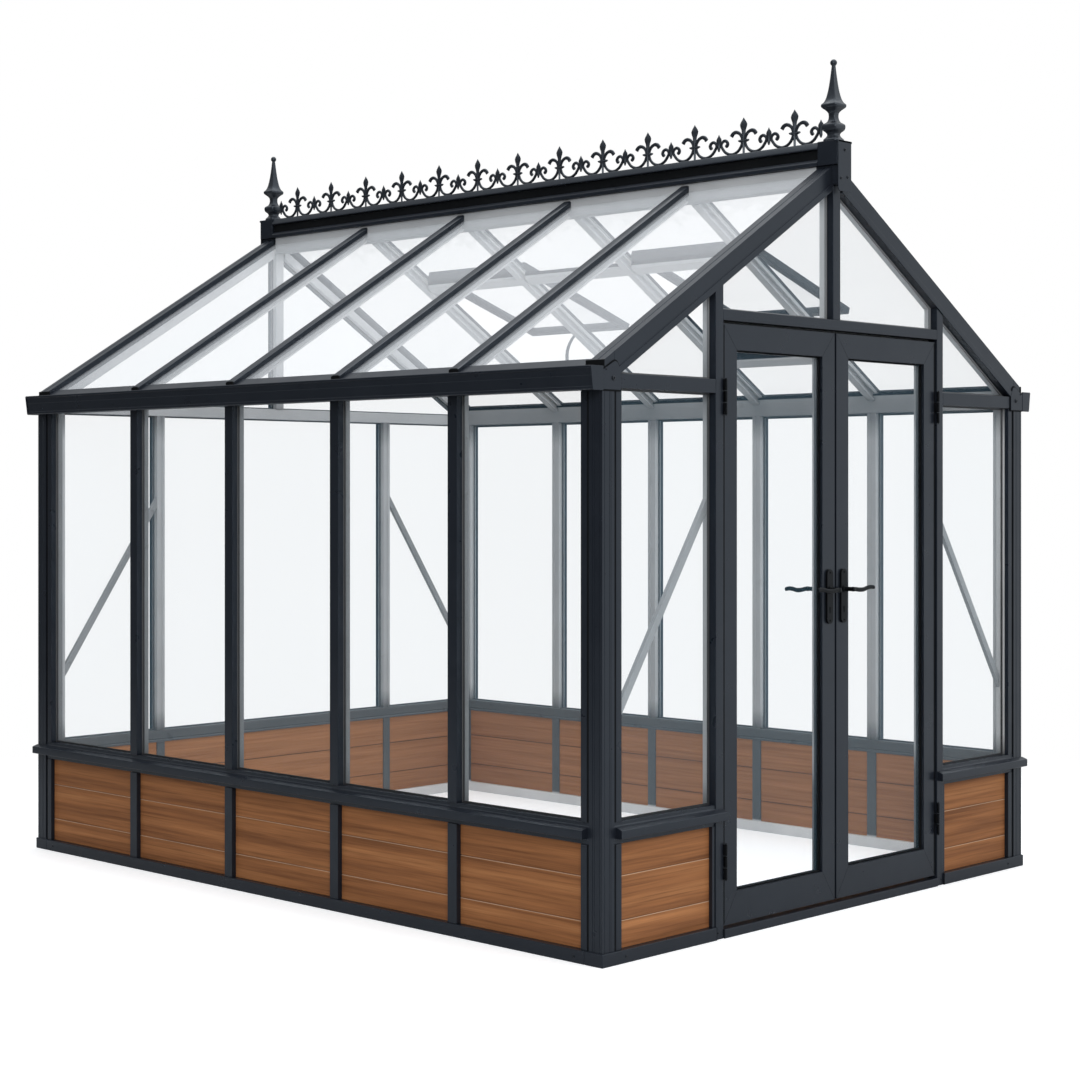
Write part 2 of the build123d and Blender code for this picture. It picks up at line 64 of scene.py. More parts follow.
R_BAYS = [(R_EDGES[2 * i], R_EDGES[2 * i + 1]) for i in range(5)]
GLASS_IN, GLASS_T = 32.0, 5.0
RIDGE_TOP = 2672.0
RY1 = YO + 30.0
FIN_Y = YO - 14.0
HANDLE_Z = 1117.0
LY0, LY1 = -YO + 6.0, -YO + 50.0
SPX = 41.0


def P(x, y, z):
    return Vector((x * 0.001, (y + SY) * 0.001, z * 0.001))


def roof_z(x, d=0.0):
    return APEX_Z - abs(x) * T - d / C


# ------------------------------------------------------------------ mesh helpers
def merge(dst, src):
    me = bpy.data.meshes.new("scratch")
    src.to_mesh(me)
    src.free()
    dst.from_mesh(me)
    bpy.data.meshes.remove(me)


def bevel(b, mm, seg=2, deg=30.0):
    edges = [e for e in b.edges if len(e.link_faces) == 2 and e.calc_face_angle(0.0) > math.radians(deg)]
    if edges:
        bmesh.ops.bevel(b, geom=edges, offset=mm * 0.001, offset_type="OFFSET", segments=seg, profile=0.5,
                        affect="EDGES", clamp_overlap=True)


def prism(dst, ring0, ring1, mm=1.5, seg=2, deg=30.0):
    """Closed solid between two rings with the same number of points."""
    b = bmesh.new()
    a = [b.verts.new(p) for p in ring0]
    c = [b.verts.new(p) for p in ring1]
    n = len(a)
    b.faces.new(a)
    b.faces.new(c[::-1])
    for i in range(n):
        b.faces.new((a[i], c[i], c[(i + 1) % n], a[(i + 1) % n]))
    bmesh.ops.recalc_face_normals(b, faces=b.faces)
    if mm > 0:
        bevel(b, mm, seg, deg)
    merge(dst, b)


def slab(dst, x0, x1, y0, y1, z0, z1, mm=1.5, seg=2):
    prism(dst, [P(x0, y0, z0), P(x1, y0, z0), P(x1, y1, z0), P(x0, y1, z0)],
          [P(x0, y0, z1), P(x1, y0, z1), P(x1, y1, z1), P(x0, y1, z1)], mm, seg)


def skin(dst, rings, cap=True):
    """Loft through rings; ends close on their own faces."""
    b = bmesh.new()
    vs = [[b.verts.new(p) for p in r] for r in rings]
    n = len(vs[0])
    for r0, r1 in zip(vs[:-1], vs[1:]):
        for i in range(n):
            b.faces.new((r0[i], r1[i], r1[(i + 1) % n], r0[(i + 1) % n]))
    if cap:
        b.faces.new(vs[0])
        b.faces.new(vs[-1][::-1])
    bmesh.ops.recalc_face_normals(b, faces=b.faces)
    merge(dst, b)


def from_cad(node, mm, deg=35.0, seg=2):
    b = bmesh.new()
    b.from_mesh(NODES[node].data)
    bmesh.ops.remove_doubles(b, verts=b.verts, dist=2e-5)
    bmesh.ops.dissolve_limit(b, angle_limit=math.radians(1.5), use_dissolve_boundaries=False, verts=b.verts, edges=b.edges)
    if mm > 0:
        bevel(b, mm, seg, deg)
    return b


def piece(name, b, mat, body, replaces=(), smooth=35.0, weighted=True):
    me = bpy.data.meshes.new(name)
    b.to_mesh(me)
    b.free()
    me.materials.clear()
    me.materials.append(mat)
    for p in me.polygons:
        p.use_smooth = True
        p.material_index = 0
    me.set_sharp_from_angle(angle=math.radians(smooth))
    o = bpy.data.objects.new(name, me)
    bpy.context.scene.collection.objects.link(o)
    if weighted:
        w = o.modifiers.new("even_normals", "WEIGHTED_NORMAL")
        w.keep_sharp = True
    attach(o, body)
    if replaces:
        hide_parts(*replaces)
    return o


def curve_points(points, n):
    """Smooth line through points (any dimension), n steps between each two."""
    out = []
    pts = [Vector(p) for p in points]
    for i in range(len(pts) - 1):
        p0 = pts[max(0, i - 1)]
        p1, p2 = pts[i], pts[i + 1]
        p3 = pts[min(len(pts) - 1, i + 2)]
        for k in range(n):
            t = k / n
            out.append(0.5 * ((2 * p1) + (p2 - p0) * t + (2 * p0 - 5 * p1 + 4 * p2 - p3) * t * t
                              + (3 * p1 - p0 - 3 * p2 + p3) * t * t * t))
    out.append(pts[-1])
    return out


# ------------------------------------------------------------------ materials
def new_mat(name):
    m = bpy.data.materials.new(name)
    m.use_nodes = True
    nt = m.node_tree
    nt.nodes.clear()
    out = nt.nodes.new("ShaderNodeOutputMaterial")
    b = nt.nodes.new("ShaderNodeBsdfPrincipled")
    nt.links.new(b.outputs[0], out.inputs[0])
    return m, nt, b


def noise(nt, vec, scale, detail=3.0, rough=0.5, dist=0.0):
    n = nt.nodes.new("ShaderNodeTexNoise")
    n.inputs["Scale"].default_value = scale
    n.inputs["Detail"].default_value = detail
    n.inputs["Roughness"].default_value = rough
    n.inputs["Distortion"].default_value = dist
    nt.links.new(vec, n.inputs["Vector"])
    return n.outputs["Fac"]


def ramp(nt, fac, stops):
    r = nt.nodes.new("ShaderNodeValToRGB")
    el = r.color_ramp.elements
    while len(el) < len(stops):
        el.new(0.5)
    for e, (p, c) in zip(el, stops):
        e.position = p
        e.color = (*c, 1.0)
    nt.links.new(fac, r.inputs[0])
    return r.outputs["Color"]


def remap(nt, v, lo, hi, a=0.3, b=0.7):
    m = nt.nodes.new("ShaderNodeMapRange")
    m.inputs["From Min"].default_value = a
    m.inputs["From Max"].default_value = b
    m.inputs["To Min"].default_value = lo
    m.inputs["To Max"].default_value = hi
    nt.links.new(v, m.inputs["Value"])
    return m.outputs["Result"]


def bump(nt, b, height, strength, distance):
    n = nt.nodes.new("ShaderNodeBump")
    n.inputs["Strength"].default_value = strength
    n.inputs["Distance"].default_value = distance
    nt.links.new(height, n.inputs["Height"])
    nt.links.new(n.outputs[0], b.inputs["Normal"])


def object_coords(nt):
    return nt.nodes.new("ShaderNodeTexCoord").outputs["Object"]


def math_node(nt, op, a, c=None):
    n = nt.nodes.new("ShaderNodeMath")
    n.operation = op
    for k, v in enumerate((a, c)):
        if v is None:
            continue
        if isinstance(v, (int, float)):
            n.inputs[k].default_value = v
        else:
            nt.links.new(v, n.inputs[k])
    return n.outputs[0]


def depth_inside(nt, oc):
    """Distance in metres behind the outer face of the nearest wall or roof slope."""
    sep = nt.nodes.new("ShaderNodeSeparateXYZ")
    nt.links.new(oc, sep.inputs[0])
    ax = math_node(nt, "ABSOLUTE", sep.outputs["X"])
    ay = math_node(nt, "ABSOLUTE", math_node(nt, "SUBTRACT", sep.outputs["Y"], SY * 0.001))
    dx = math_node(nt, "SUBTRACT", XO * 0.001, ax)
    dy = math_node(nt, "SUBTRACT", YO * 0.001, ay)
    top = math_node(nt, "SUBTRACT", APEX_Z * 0.001, math_node(nt, "MULTIPLY", ax, T))
    dr = math_node(nt, "MULTIPLY", math_node(nt, "SUBTRACT", top, sep.outputs["Z"]), C)
    return math_node(nt, "MINIMUM", math_node(nt, "MINIMUM", dx, dy), dr)


def height_of(nt, oc):
    sep = nt.nodes.new("ShaderNodeSeparateXYZ")
    nt.links.new(oc, sep.inputs[0])
    return sep.outputs["Z"]


def coat(name, lo, hi, r_lo, r_hi, grain=520.0, strength=0.12, spec=0.38, inner=None, edge=0.0365):
    m, nt, b = new_mat(name)
    oc = object_coords(nt)
    cloud = noise(nt, oc, 3.2, 5.0, 0.6)
    colour = ramp(nt, cloud, [(0.3, lo), (0.7, hi)])
    # painted light: with an inner ramp, parts more than edge metres behind the outer face of a wall or roof slope get a
    # pale colour set by height, a little mottled, for the light veiling the inside seen through the glass
    if inner:
        pale = ramp(nt, math_node(nt, "DIVIDE", height_of(nt, oc), 2.6), inner)
        mottle = nt.nodes.new("ShaderNodeHueSaturation")
        nt.links.new(pale, mottle.inputs["Color"])
        nt.links.new(remap(nt, cloud, 0.92, 1.08), mottle.inputs["Value"])
        pale = mottle.outputs[0]
        mix = nt.nodes.new("ShaderNodeMix")
        mix.data_type = "RGBA"
        nt.links.new(remap(nt, depth_inside(nt, oc), 0.0, 1.0, edge, edge + 0.002), mix.inputs[0])
        nt.links.new(colour, mix.inputs[6])
        nt.links.new(pale, mix.inputs[7])
        colour = mix.outputs[2]
    nt.links.new(colour, b.inputs["Base Color"])
    nt.links.new(remap(nt, noise(nt, oc, 14.0, 3.0), r_lo, r_hi), b.inputs["Roughness"])
    b.inputs["Specular IOR Level"].default_value = spec
    b.inputs["Specular Tint"].default_value = (0.78, 0.89, 1.0, 1.0)
    if strength > 0:
        bump(nt, b, noise(nt, oc, grain, 2.0), strength, 0.0006)
    return m


# painted light: inner faces paler than the outside, by height (metres over 2.6): near-white at the foot beside the
# bright floor, dark along the boarded panels, pale over the glazed walls, a darker band at the eaves, palest under the
# roof
INSIDE_PAINTED_LIGHT = [(0.0175, (0.87, 0.875, 0.88)), (0.0195, (0.125, 0.126, 0.126)), (0.165, (0.125, 0.126, 0.127)), (0.20, (0.400, 0.402, 0.403)),
          (0.64, (0.440, 0.443, 0.446)), (0.675, (0.290, 0.293, 0.296)), (0.70, (0.310, 0.313, 0.316)), (0.76, (0.540, 0.546, 0.552)), (0.95, (0.680, 0.686, 0.692))]
DARK = (0.0088, 0.0112, 0.0165), (0.0118, 0.0146, 0.0208)
COAT = coat("anthracite_powder_coat", *DARK, 0.27, 0.38, 520.0, 0.0, inner=INSIDE_PAINTED_LIGHT)


def scaled_painted_light(k):
    """The inner painted-light ramp with the part between sill and eaves scaled: darker below 1 (painted shade), paler
    above 1 (painted light).
    """
    return [(h, tuple(v * k for v in c) if 0.18 < h < 0.66 else c) for h, c in INSIDE_PAINTED_LIGHT]


# painted light and shade: copies of the coat for the bars, whose pale inner part starts nearer to their outer face; the
# left wall's copy is darker between sill and eaves (painted shade), the copy for the right wall, the gable walls and
# the right roof paler there (painted light)
COAT_LEFT_PAINTED_SHADE = coat("anthracite_left_bar_coat_painted_shade", *DARK, 0.27, 0.38, 520.0, 0.0, inner=scaled_painted_light(0.52), edge=0.024)
COAT_FAR_PAINTED_LIGHT = coat("anthracite_far_bar_coat_painted_light", *DARK, 0.27, 0.38, 520.0, 0.0, inner=scaled_painted_light(1.30), edge=0.017)
# painted light: the gable eave rails' inner part paler, more so higher up
COAT_RAIL_PAINTED_LIGHT = coat("anthracite_eave_rail_coat", *DARK, 0.27, 0.38, 520.0, 0.0,
                 inner=[(0.66, (0.50, 0.505, 0.51)), (0.72, (0.56, 0.566, 0.572))])
COAT_BRACE = coat("grey_brace_coat", (0.30, 0.304, 0.307), (0.36, 0.364, 0.367), 0.30, 0.42, 520.0, 0.0)
COAT_PLAIN = coat("anthracite_threshold_coat", *DARK, 0.30, 0.42, 520.0, 0.0)
# painted light: a pale coat for the ridge web's sides and underside seen through the roof glass
RIDGE_PAINTED_LIGHT = coat("ridge_facing_painted_light_coat", (0.46, 0.47, 0.48), (0.54, 0.55, 0.56), 0.34, 0.46)
CAST = coat("cast_powder_coat", (0.0120, 0.0142, 0.0190), (0.0190, 0.0220, 0.0280), 0.30, 0.42, 260.0, 0.25, 0.5)
BLACK = coat("satin_black_hardware", (0.0030, 0.0033, 0.0040), (0.0048, 0.0052, 0.0060), 0.28, 0.40, 700.0, 0.06, 0.13)
# painted light: deeper than 24 mm behind the outer face, the seal colour turns paler with height (metres over 2.6), for
# the light veiling the inside
RUBBER = coat("black_rubber_seal", (0.0030, 0.0031, 0.0034), (0.0052, 0.0053, 0.0057), 0.66, 0.82, 300.0, 0.2, 0.15,
              [(0.12, (0.012, 0.0125, 0.013)), (0.18, (0.045, 0.046, 0.048)), (0.66, (0.080, 0.082, 0.085)), (0.78, (0.24, 0.245, 0.25))], 0.024)
# painted light: a grey copy of the seal colour for the seals of the right and back walls
FAR_SEALS_PAINTED_LIGHT = coat("far_seal_painted_light_grey", (0.15, 0.153, 0.156), (0.19, 0.193, 0.196), 0.66, 0.82, 300.0, 0.2, 0.15)
STEEL = coat("dark_screw_head", (0.006, 0.007, 0.009), (0.014, 0.015, 0.018), 0.30, 0.42, 900.0, 0.1)


def wood():
    m, nt, b = new_mat("brown_plank")
    oc = object_coords(nt)
    sep = nt.nodes.new("ShaderNodeSeparateXYZ")
    nt.links.new(oc, sep.inputs[0])
    along = nt.nodes.new("ShaderNodeMath")
    along.operation = "ADD"
    nt.links.new(sep.outputs["X"], along.inputs[0])
    nt.links.new(sep.outputs["Y"], along.inputs[1])
    island = nt.nodes.new("ShaderNodeNewGeometry").outputs["Random Per Island"]

    def mapped(su, sz, sr):
        c = nt.nodes.new("ShaderNodeCombineXYZ")
        for k, (src, s) in enumerate(((along.outputs[0], su), (sep.outputs["Z"], sz), (island, sr))):
            mm = nt.nodes.new("ShaderNodeMath")
            mm.operation = "MULTIPLY"
            nt.links.new(src, mm.inputs[0])
            mm.inputs[1].default_value = s
            nt.links.new(mm.outputs[0], c.inputs[k])
        return c.outputs[0]

    broad = noise(nt, mapped(0.75, 24.0, 41.0), 1.0, 5.0, 0.55, 0.12)
    streak = noise(nt, mapped(2.2, 95.0, 53.0), 1.0, 4.0, 0.55, 0.10)
    fibre = noise(nt, mapped(6.0, 300.0, 67.0), 1.0, 3.0, 0.6, 0.0)
    within = remap(nt, depth_inside(nt, oc), 0.0, 1.0, 0.040, 0.044)
    base = ramp(nt, broad, [(0.32, (0.205, 0.081, 0.0310)), (0.44, (0.262, 0.106, 0.0405)),
                            (0.55, (0.318, 0.131, 0.0495)), (0.70, (0.375, 0.162, 0.0630))])
    lines = ramp(nt, streak, [(0.30, (0.62, 0.59, 0.56)), (0.46, (0.92, 0.91, 0.90)), (0.60, (1.04, 1.04, 1.03)), (0.74, (1.16, 1.14, 1.11))])
    fine = ramp(nt, fibre, [(0.30, (0.80, 0.79, 0.78)), (0.52, (1.0, 1.0, 1.0)), (0.72, (1.10, 1.09, 1.06))])

    def blend(kind, fac, a, c):
        n = nt.nodes.new("ShaderNodeMix")
        n.data_type = "RGBA"
        n.blend_type = kind
        if isinstance(fac, float):
            n.inputs[0].default_value = fac
        else:
            nt.links.new(fac, n.inputs[0])
        nt.links.new(a, n.inputs[6])
        nt.links.new(c, n.inputs[7])
        return n.outputs[2]

    tone = blend("MULTIPLY", 0.85, blend("MULTIPLY", 0.9, base, lines), fine)
    hsv = nt.nodes.new("ShaderNodeHueSaturation")
    nt.links.new(tone, hsv.inputs["Color"])
    nt.links.new(remap(nt, island, 0.98, 1.08, 0.0, 1.0), hsv.inputs["Value"])
    # painted light: inside, the boards get a calmer, paler colour for the light veiling them
    inner_painted_light = ramp(nt, streak, [(0.30, (0.370, 0.166, 0.069)), (0.70, (0.520, 0.240, 0.104))])
    shade = blend("MIX", remap(nt, within, 0.0, 0.72, 0.0, 1.0), hsv.outputs[0], inner_painted_light)
    # outside, a painted highlight along the eased upper edge of each plank, where it would catch the light; inside,
    # each joint is only a dark line
    painted_edge_highlight = joint = None
    for zs in (0.129, 0.268):
        off = math_node(nt, "ABSOLUTE", math_node(nt, "SUBTRACT", sep.outputs["Z"], zs - 0.0021))
        near = remap(nt, off, 0.58, 0.0, 0.0006, 0.0017)
        painted_edge_highlight = near if painted_edge_highlight is None else math_node(nt, "MAXIMUM", painted_edge_highlight, near)
        off = math_node(nt, "ABSOLUTE", math_node(nt, "SUBTRACT", sep.outputs["Z"], zs))
        near = remap(nt, off, 0.75, 0.0, 0.0012, 0.0026)
        joint = near if joint is None else math_node(nt, "MAXIMUM", joint, near)
    painted_edge_highlight = math_node(nt, "MULTIPLY", painted_edge_highlight, math_node(nt, "SUBTRACT", 1.0, within))
    joint = math_node(nt, "MULTIPLY", joint, within)
    dark = ramp(nt, fibre, [(0.3, (0.030, 0.015, 0.009)), (0.7, (0.050, 0.026, 0.015))])
    # colour of the painted highlight
    pale = ramp(nt, fibre, [(0.3, (0.52, 0.36, 0.25)), (0.7, (0.68, 0.50, 0.36))])
    shade = blend("MIX", joint, shade, dark)
    edge = nt.nodes.new("ShaderNodeMix")
    edge.data_type = "RGBA"
    nt.links.new(painted_edge_highlight, edge.inputs[0])
    nt.links.new(shade, edge.inputs[6])
    nt.links.new(pale, edge.inputs[7])
    nt.links.new(edge.outputs[2], b.inputs["Base Color"])
    nt.links.new(remap(nt, fibre, 0.55, 0.72), b.inputs["Roughness"])
    b.inputs["Specular IOR Level"].default_value = 0.18
    bump(nt, b, fibre, 0.25, 0.0008)
    return m


WOOD = wood()


def glass(name, alpha, lo, hi):
    m, nt, b = new_mat(name)
    oc = object_coords(nt)
    nt.links.new(ramp(nt, noise(nt, oc, 0.9, 2.0), [(0.35, lo), (0.65, hi)]), b.inputs["Base Color"])
    nt.links.new(remap(nt, noise(nt, oc, 2.3, 3.0), 0.02, 0.06), b.inputs["Roughness"])
    b.inputs["Alpha"].default_value = alpha
    b.inputs["IOR"].default_value = 1.5
    return m


WALL_GLASS = glass("clear_sheet_glass", 0.034, (0.24, 0.52, 0.70), (0.36, 0.62, 0.80))
# painted reflection: the roof glass gets a white veil standing in for the light reflected off it, stronger on the left
# slope than on the right
ROOF_GLASS = glass("roof_glass_strong_painted_reflection", 0.20, (0.84, 0.89, 0.93), (0.91, 0.94, 0.98))
FAR_ROOF_GLASS = glass("roof_glass_faint_painted_reflection", 0.09, (0.84, 0.89, 0.93), (0.91, 0.94, 0.98))

for n, o in NODES.items():
    if n.endswith("_glass"):
        o.data.materials.clear()
        o.data.materials.append(ROOF_GLASS if n == "left_roof_glass" else FAR_ROOF_GLASS if "roof" in n else WALL_GLASS)

# ------------------------------------------------------------------ frame pieces taken over with rounded edges
PLAIN = {"side_base_rails": 2.4, "gable_base_rails": 2.4, "door_threshold": 2.0, "door_posts": 1.8, "eave_beams": 1.5,
         "gable_eave_rails": 1.8, "door_header": 1.8, "king_posts": 1.8,
         "gable_braces": 1.0, "roof_vent_frames": 1.5, "roof_vent_trimmers": 1.5, "roof_vent_stays": 0.8,
         "ridge_end_caps": 1.6}
for n, mm in PLAIN.items():
    b = from_cad(n, mm)
    if n == "ridge_end_caps":
        # the back plate sits 3 mm in, so its screw heads stay within the frame
        for v in b.verts:
            if v.co.y > (YO + 30.0 + SY + 0.5) * 0.001:
                v.co.y = max(v.co.y - 0.003, (YO + 30.0 + SY + 0.4) * 0.001)
    piece(n + "_made", b, {"door_threshold": COAT_PLAIN, "gable_eave_rails": COAT_RAIL_PAINTED_LIGHT, "gable_braces": COAT_BRACE}.get(n, COAT), "house", [n])
for side in ("left", "right"):
    piece(side + "_door_frame_made", from_cad(side + "_door_frame", 1.4), COAT, side + "_door", [side + "_door_frame"])
    piece(side + "_door_plates_made", from_cad(side + "_door_handle_plates", 2.4, 50.0, 3), BLACK, side + "_door",
          [side + "_door_handle_plates"])


# ------------------------------------------------------------------ hinges: slim barrels with short straps
def barrel(dst, x, y, z0, z1, r):
    rings = []
    for z, k in ((z0, r - 1.2), (z0 + 1.2, r), (z1 - 1.2, r), (z1, r - 1.2)):
        rings.append([P(x + k * math.cos(q), y + k * math.sin(q), z) for q in (2 * math.pi * i / 20 for i in range(20))])
    skin(dst, rings)


HX, HY, HR, HH = 622.0, -YO - 8.0, 4.8, 116.0
third = HH / 3
fixed = bmesh.new()
for side, sx in (("left", -1), ("right", 1)):
    moving = bmesh.new()
    for zc in (250.0, 1766.0):
        z0, z1 = zc - HH / 2, zc + HH / 2
        for a, c in ((z0, z0 + third - 0.8), (z1 - third + 0.8, z1)):
            barrel(fixed, sx * HX, HY, a, c, HR)
            slab(fixed, *sorted((sx * (HX + 6), sx * (HX + 1))), -YO - 6.0, -YO + 0.5, a + 1, c - 1, 0.8)
        barrel(fixed, sx * HX, HY, z1, z1 + 3, 3.0)
        barrel(fixed, sx * HX, HY, z0 - 3, z0, 3.0)
        barrel(moving, sx * HX, HY, z0 + third + 0.8, z1 - third - 0.8, HR)
        slab(moving, *sorted((sx * (HX - 1), sx * (HX - 7))), LY0 - 12.0, LY0 + 0.5, z0 + third + 2, z1 - third - 2, 0.8)
    piece(side + "_door_hinges_made", moving, BLACK, side + "_door", [side + "_door_hinges"], 40.0, False)
piece("door_hinge_butts_made", fixed, BLACK, "house", ["door_hinge_butts"], 40.0, False)

# ------------------------------------------------------------------ corner posts with ribbed outer faces
b = bmesh.new()


def grooved(length, at, w=1.8, d=1.0):
    pts = [(0.0, 0.0)]
    for a in at:
        pts += [(a - w / 2, 0.0), (a - w / 2 + 0.5, d), (a + w / 2 - 0.5, d), (a + w / 2, 0.0)]
    return pts + [(length, 0.0)]


for sx in (-1, 1):
    for sy in (-1, 1):
        face = grooved(POST, (11.0, 33.0, 40.0))
        ring = [(a, d) for a, d in face] + [(POST, POST)] + [(d, a) for a, d in face[::-1]][:-1]
        r0 = [P(sx * (XO - a), sy * (YO - c), RAIL_H) for a, c in ring]
        r1 = [P(sx * (XO - a), sy * (YO - c), EAVE_Z) for a, c in ring]
        prism(b, r0, r1, 0.0)
piece("corner_posts_made", b, COAT, "house", ["corner_posts"], 20.0, False)

# painted shade: black strips in the joint between each post and the bar beside it, beside the door posts and behind the
# door leaves, where these gaps lie in shade
b = bmesh.new()
for sx in (-1, 1):
    for sy in (-1, 1):
        for z0, z1 in ((RAIL_H, TRANSOM_LO), (TRANSOM_HI, EAVE_Z)):
            slab(b, *sorted((sx * (XO - 3.4), sx * (XO - 8))), *sorted((sy * (Y_IN - 9.9), sy * Y_IN)), z0, z1, 0.4, 1)
            slab(b, *sorted((sx * (X_IN - 9.9), sx * X_IN)), *sorted((sy * (YO - 3.4), sy * (YO - 8))), z0, z1, 0.4, 1)
for sx in (-1, 1):
    slab(b, *sorted((sx * DPO, sx * (DPO + 2.6))), -YO + 5, -YO + 16.9, RAIL_H, TRANSOM_LO, 0.4, 1)
    slab(b, *sorted((sx * (DPO + 0.3), sx * (DPO + 2.3))), -BY - 0.4, -BY + 5, 0.5, RAIL_H + 0.3, 0.3, 1)
    slab(b, *sorted((sx * (DPI - 26), sx * (DPI + 12))), -YO + 56.0, -YO + 66.0, 44.0, 2036.0, 1.5)
slab(b, -DPI + 26.2, DPI - 26.2, -YO + 56.0, -YO + 66.0, 1984.0, 2036.0, 1.5)
piece("joint_and_door_gap_painted_shade", b, RUBBER, "house")
b = bmesh.new()
for sx in (-1, 1):
    slab(b, *sorted((sx * (DPO + 2.8), sx * (DPO + 15))), -YO + 3, -YO + 16.9, RAIL_H, TRANSOM_LO, 1.2)
piece("front_panel_stiles", b, COAT, "house")

# ------------------------------------------------------------------ wall bars
UPPER = [(0, -22), (0, 22), (56, 22), (56, 7), (52.5, 7), (52.5, -7), (56, -7), (56, -22)]
LOWER = [(0, -22), (0, 22), (45, 22), (45, -22)]
LOWER_IN = [(44, -22), (44, 22), (56, 22), (56, -22)]
# beside a post: t runs from the pane to the post, with a groove against the post
SIDE_UP = [(2, 0), (2, 26), (8, 26), (8, 36), (56, 36), (56, 0)]
SIDE_LO = [(2, 0), (2, 26), (8, 26), (8, 36), (45, 36), (45, 0)]
SIDE_LO_IN = [(44, 0), (44, 36), (56, 36), (56, 0)]
ZS = ((RAIL_H, TRANSOM_LO), (TRANSOM_HI, EAVE_Z))


def wall_bars(name, sx):
    b = bmesh.new()
    for k, (z0, z1) in enumerate(ZS + ((RAIL_H, SILL_LO),)):
        for y in BAR_Y:
            s = (LOWER, UPPER, LOWER_IN)[k]
            prism(b, [P(sx * (XO - a), y + t, z0) for a, t in s], [P(sx * (XO - a), y + t, z1) for a, t in s], 1.6)
        for sy in (-1, 1):
            s = (SIDE_LO, SIDE_UP, SIDE_LO_IN)[k]
            prism(b, [P(sx * (XO - a), sy * (Y_BAY + t), z0) for a, t in s], [P(sx * (XO - a), sy * (Y_BAY + t), z1) for a, t in s], 1.4)
    piece(name + "_made", b, COAT_LEFT_PAINTED_SHADE if name.startswith("left") else COAT_FAR_PAINTED_LIGHT, "house", [name])


wall_bars("left_wall_bars", -1)
wall_bars("right_wall_bars", 1)

b = bmesh.new()
for k, (z0, z1) in enumerate(ZS + ((RAIL_H, SILL_LO),)):
    for sx in (-1, 1):
        for sy in (-1, 1):
            s = (SIDE_LO, SIDE_UP, SIDE_LO_IN)[k]
            prism(b, [P(sx * (X_BAY + t), sy * (YO - a), z0) for a, t in s], [P(sx * (X_BAY + t), sy * (YO - a), z1) for a, t in s], 1.4)
        s = [(a, t * 20 / 22) for a, t in (LOWER, UPPER, LOWER_IN)[k]]
        mid = (DPI + DPO) / 2
        prism(b, [P(sx * mid + t, YO - a, z0) for a, t in s], [P(sx * mid + t, YO - a, z1) for a, t in s], 1.6)
piece("gable_wall_bars_made", b, COAT_FAR_PAINTED_LIGHT, "house", ["gable_wall_bars"])

# ------------------------------------------------------------------ boarded panels: three planks and a tongue behind the joints
SEAMS = (RAIL_H, 129.0, 268.0, TRANSOM_LO)


def planks(name, spots, inside):
    """spots and inside: (axis, face, inward sign, start, end)."""
    b = bmesh.new()
    for axis, f, s, t0, t1 in spots:
        def put(d0, d1, z0, z1, mm, u0=t0, u1=t1):
            c0, c1 = sorted((f + s * d0, f + s * d1))
            if axis == "x":
                slab(b, c0, c1, u0, u1, z0, z1, mm)
            else:
                slab(b, u0, u1, c0, c1, z0, z1, mm)
        for z0, z1 in zip(SEAMS[:-1], SEAMS[1:]):
            put(17.0, 45.0, z0 + (0.4 if z0 > 100 else 0.0), z1 - (0.4 if z1 < 300 else 0.0), 2.0)
        put(27.0, 35.0, SEAMS[0], SEAMS[-1], 0.0, t0 + 1, t1 - 1)
    # inside, the boards fill the depth of the frame up to the bars' inner edge
    for axis, f, s, t0, t1 in inside:
        for z0, z1 in zip(SEAMS[:-1], SEAMS[1:-1] + (SILL_LO,)):
            c0, c1 = sorted((f + s * 45.2, f + s * 51.0))
            lo, hi = z0 + (0.4 if z0 > 100 else 0.0), z1 - (0.4 if z1 < 300 else 0.0)
            if axis == "x":
                slab(b, c0, c1, t0, t1, lo, hi, 1.4)
            else:
                slab(b, t0, t1, c0, c1, lo, hi, 1.4)
    piece(name + "_made", b, WOOD, "house", [name])


planks("left_wall_boards", [("x", -XO, 1, y0, y1) for y0, y1 in BAYS], [("x", -XO, 1, -Y_IN, Y_IN)])
planks("right_wall_boards", [("x", XO, -1, y0, y1) for y0, y1 in BAYS], [("x", XO, -1, -Y_IN, Y_IN)])
planks("front_wall_boards", [("y", -YO, 1, -X_BAY, -DPO), ("y", -YO, 1, DPO, X_BAY)], [("y", -YO, 1, -X_IN, -DPO), ("y", -YO, 1, DPO, X_IN)])
planks("back_wall_boards", [("y", YO, -1, -X_BAY, -DPO), ("y", YO, -1, -DPI, DPI), ("y", YO, -1, DPO, X_BAY)], [("y", YO, -1, -X_IN, X_IN)])

# ------------------------------------------------------------------ sills: rail, rolled nose, drip groove
NOSE = [(0.0, SILL_LO), (SILL_OUT - 1.5, SILL_LO), (SILL_OUT, SILL_LO + 1.5), (SILL_OUT, SILL_HI - 7), (SILL_OUT - 1.2, SILL_HI - 4.6),
        (SILL_OUT - 3.6, SILL_HI - 3.6), (0.0, SILL_HI + 3)]
RAIL = [(-44.5, TRANSOM_LO), (-5.0, TRANSOM_LO), (-5.0, SILL_LO - 3), (0.0, SILL_LO - 3), (0.0, SILL_HI + 5), (-4.0, SILL_HI + 8), (-4.0, TRANSOM_HI),
        (-BAR_D, TRANSOM_HI), (-BAR_D, SILL_LO + 14), (-53.0, SILL_LO + 11), (-BAR_D, SILL_LO + 8), (-BAR_D, SILL_LO), (-44.5, SILL_LO)]
GAP = 7.0
b = bmesh.new()
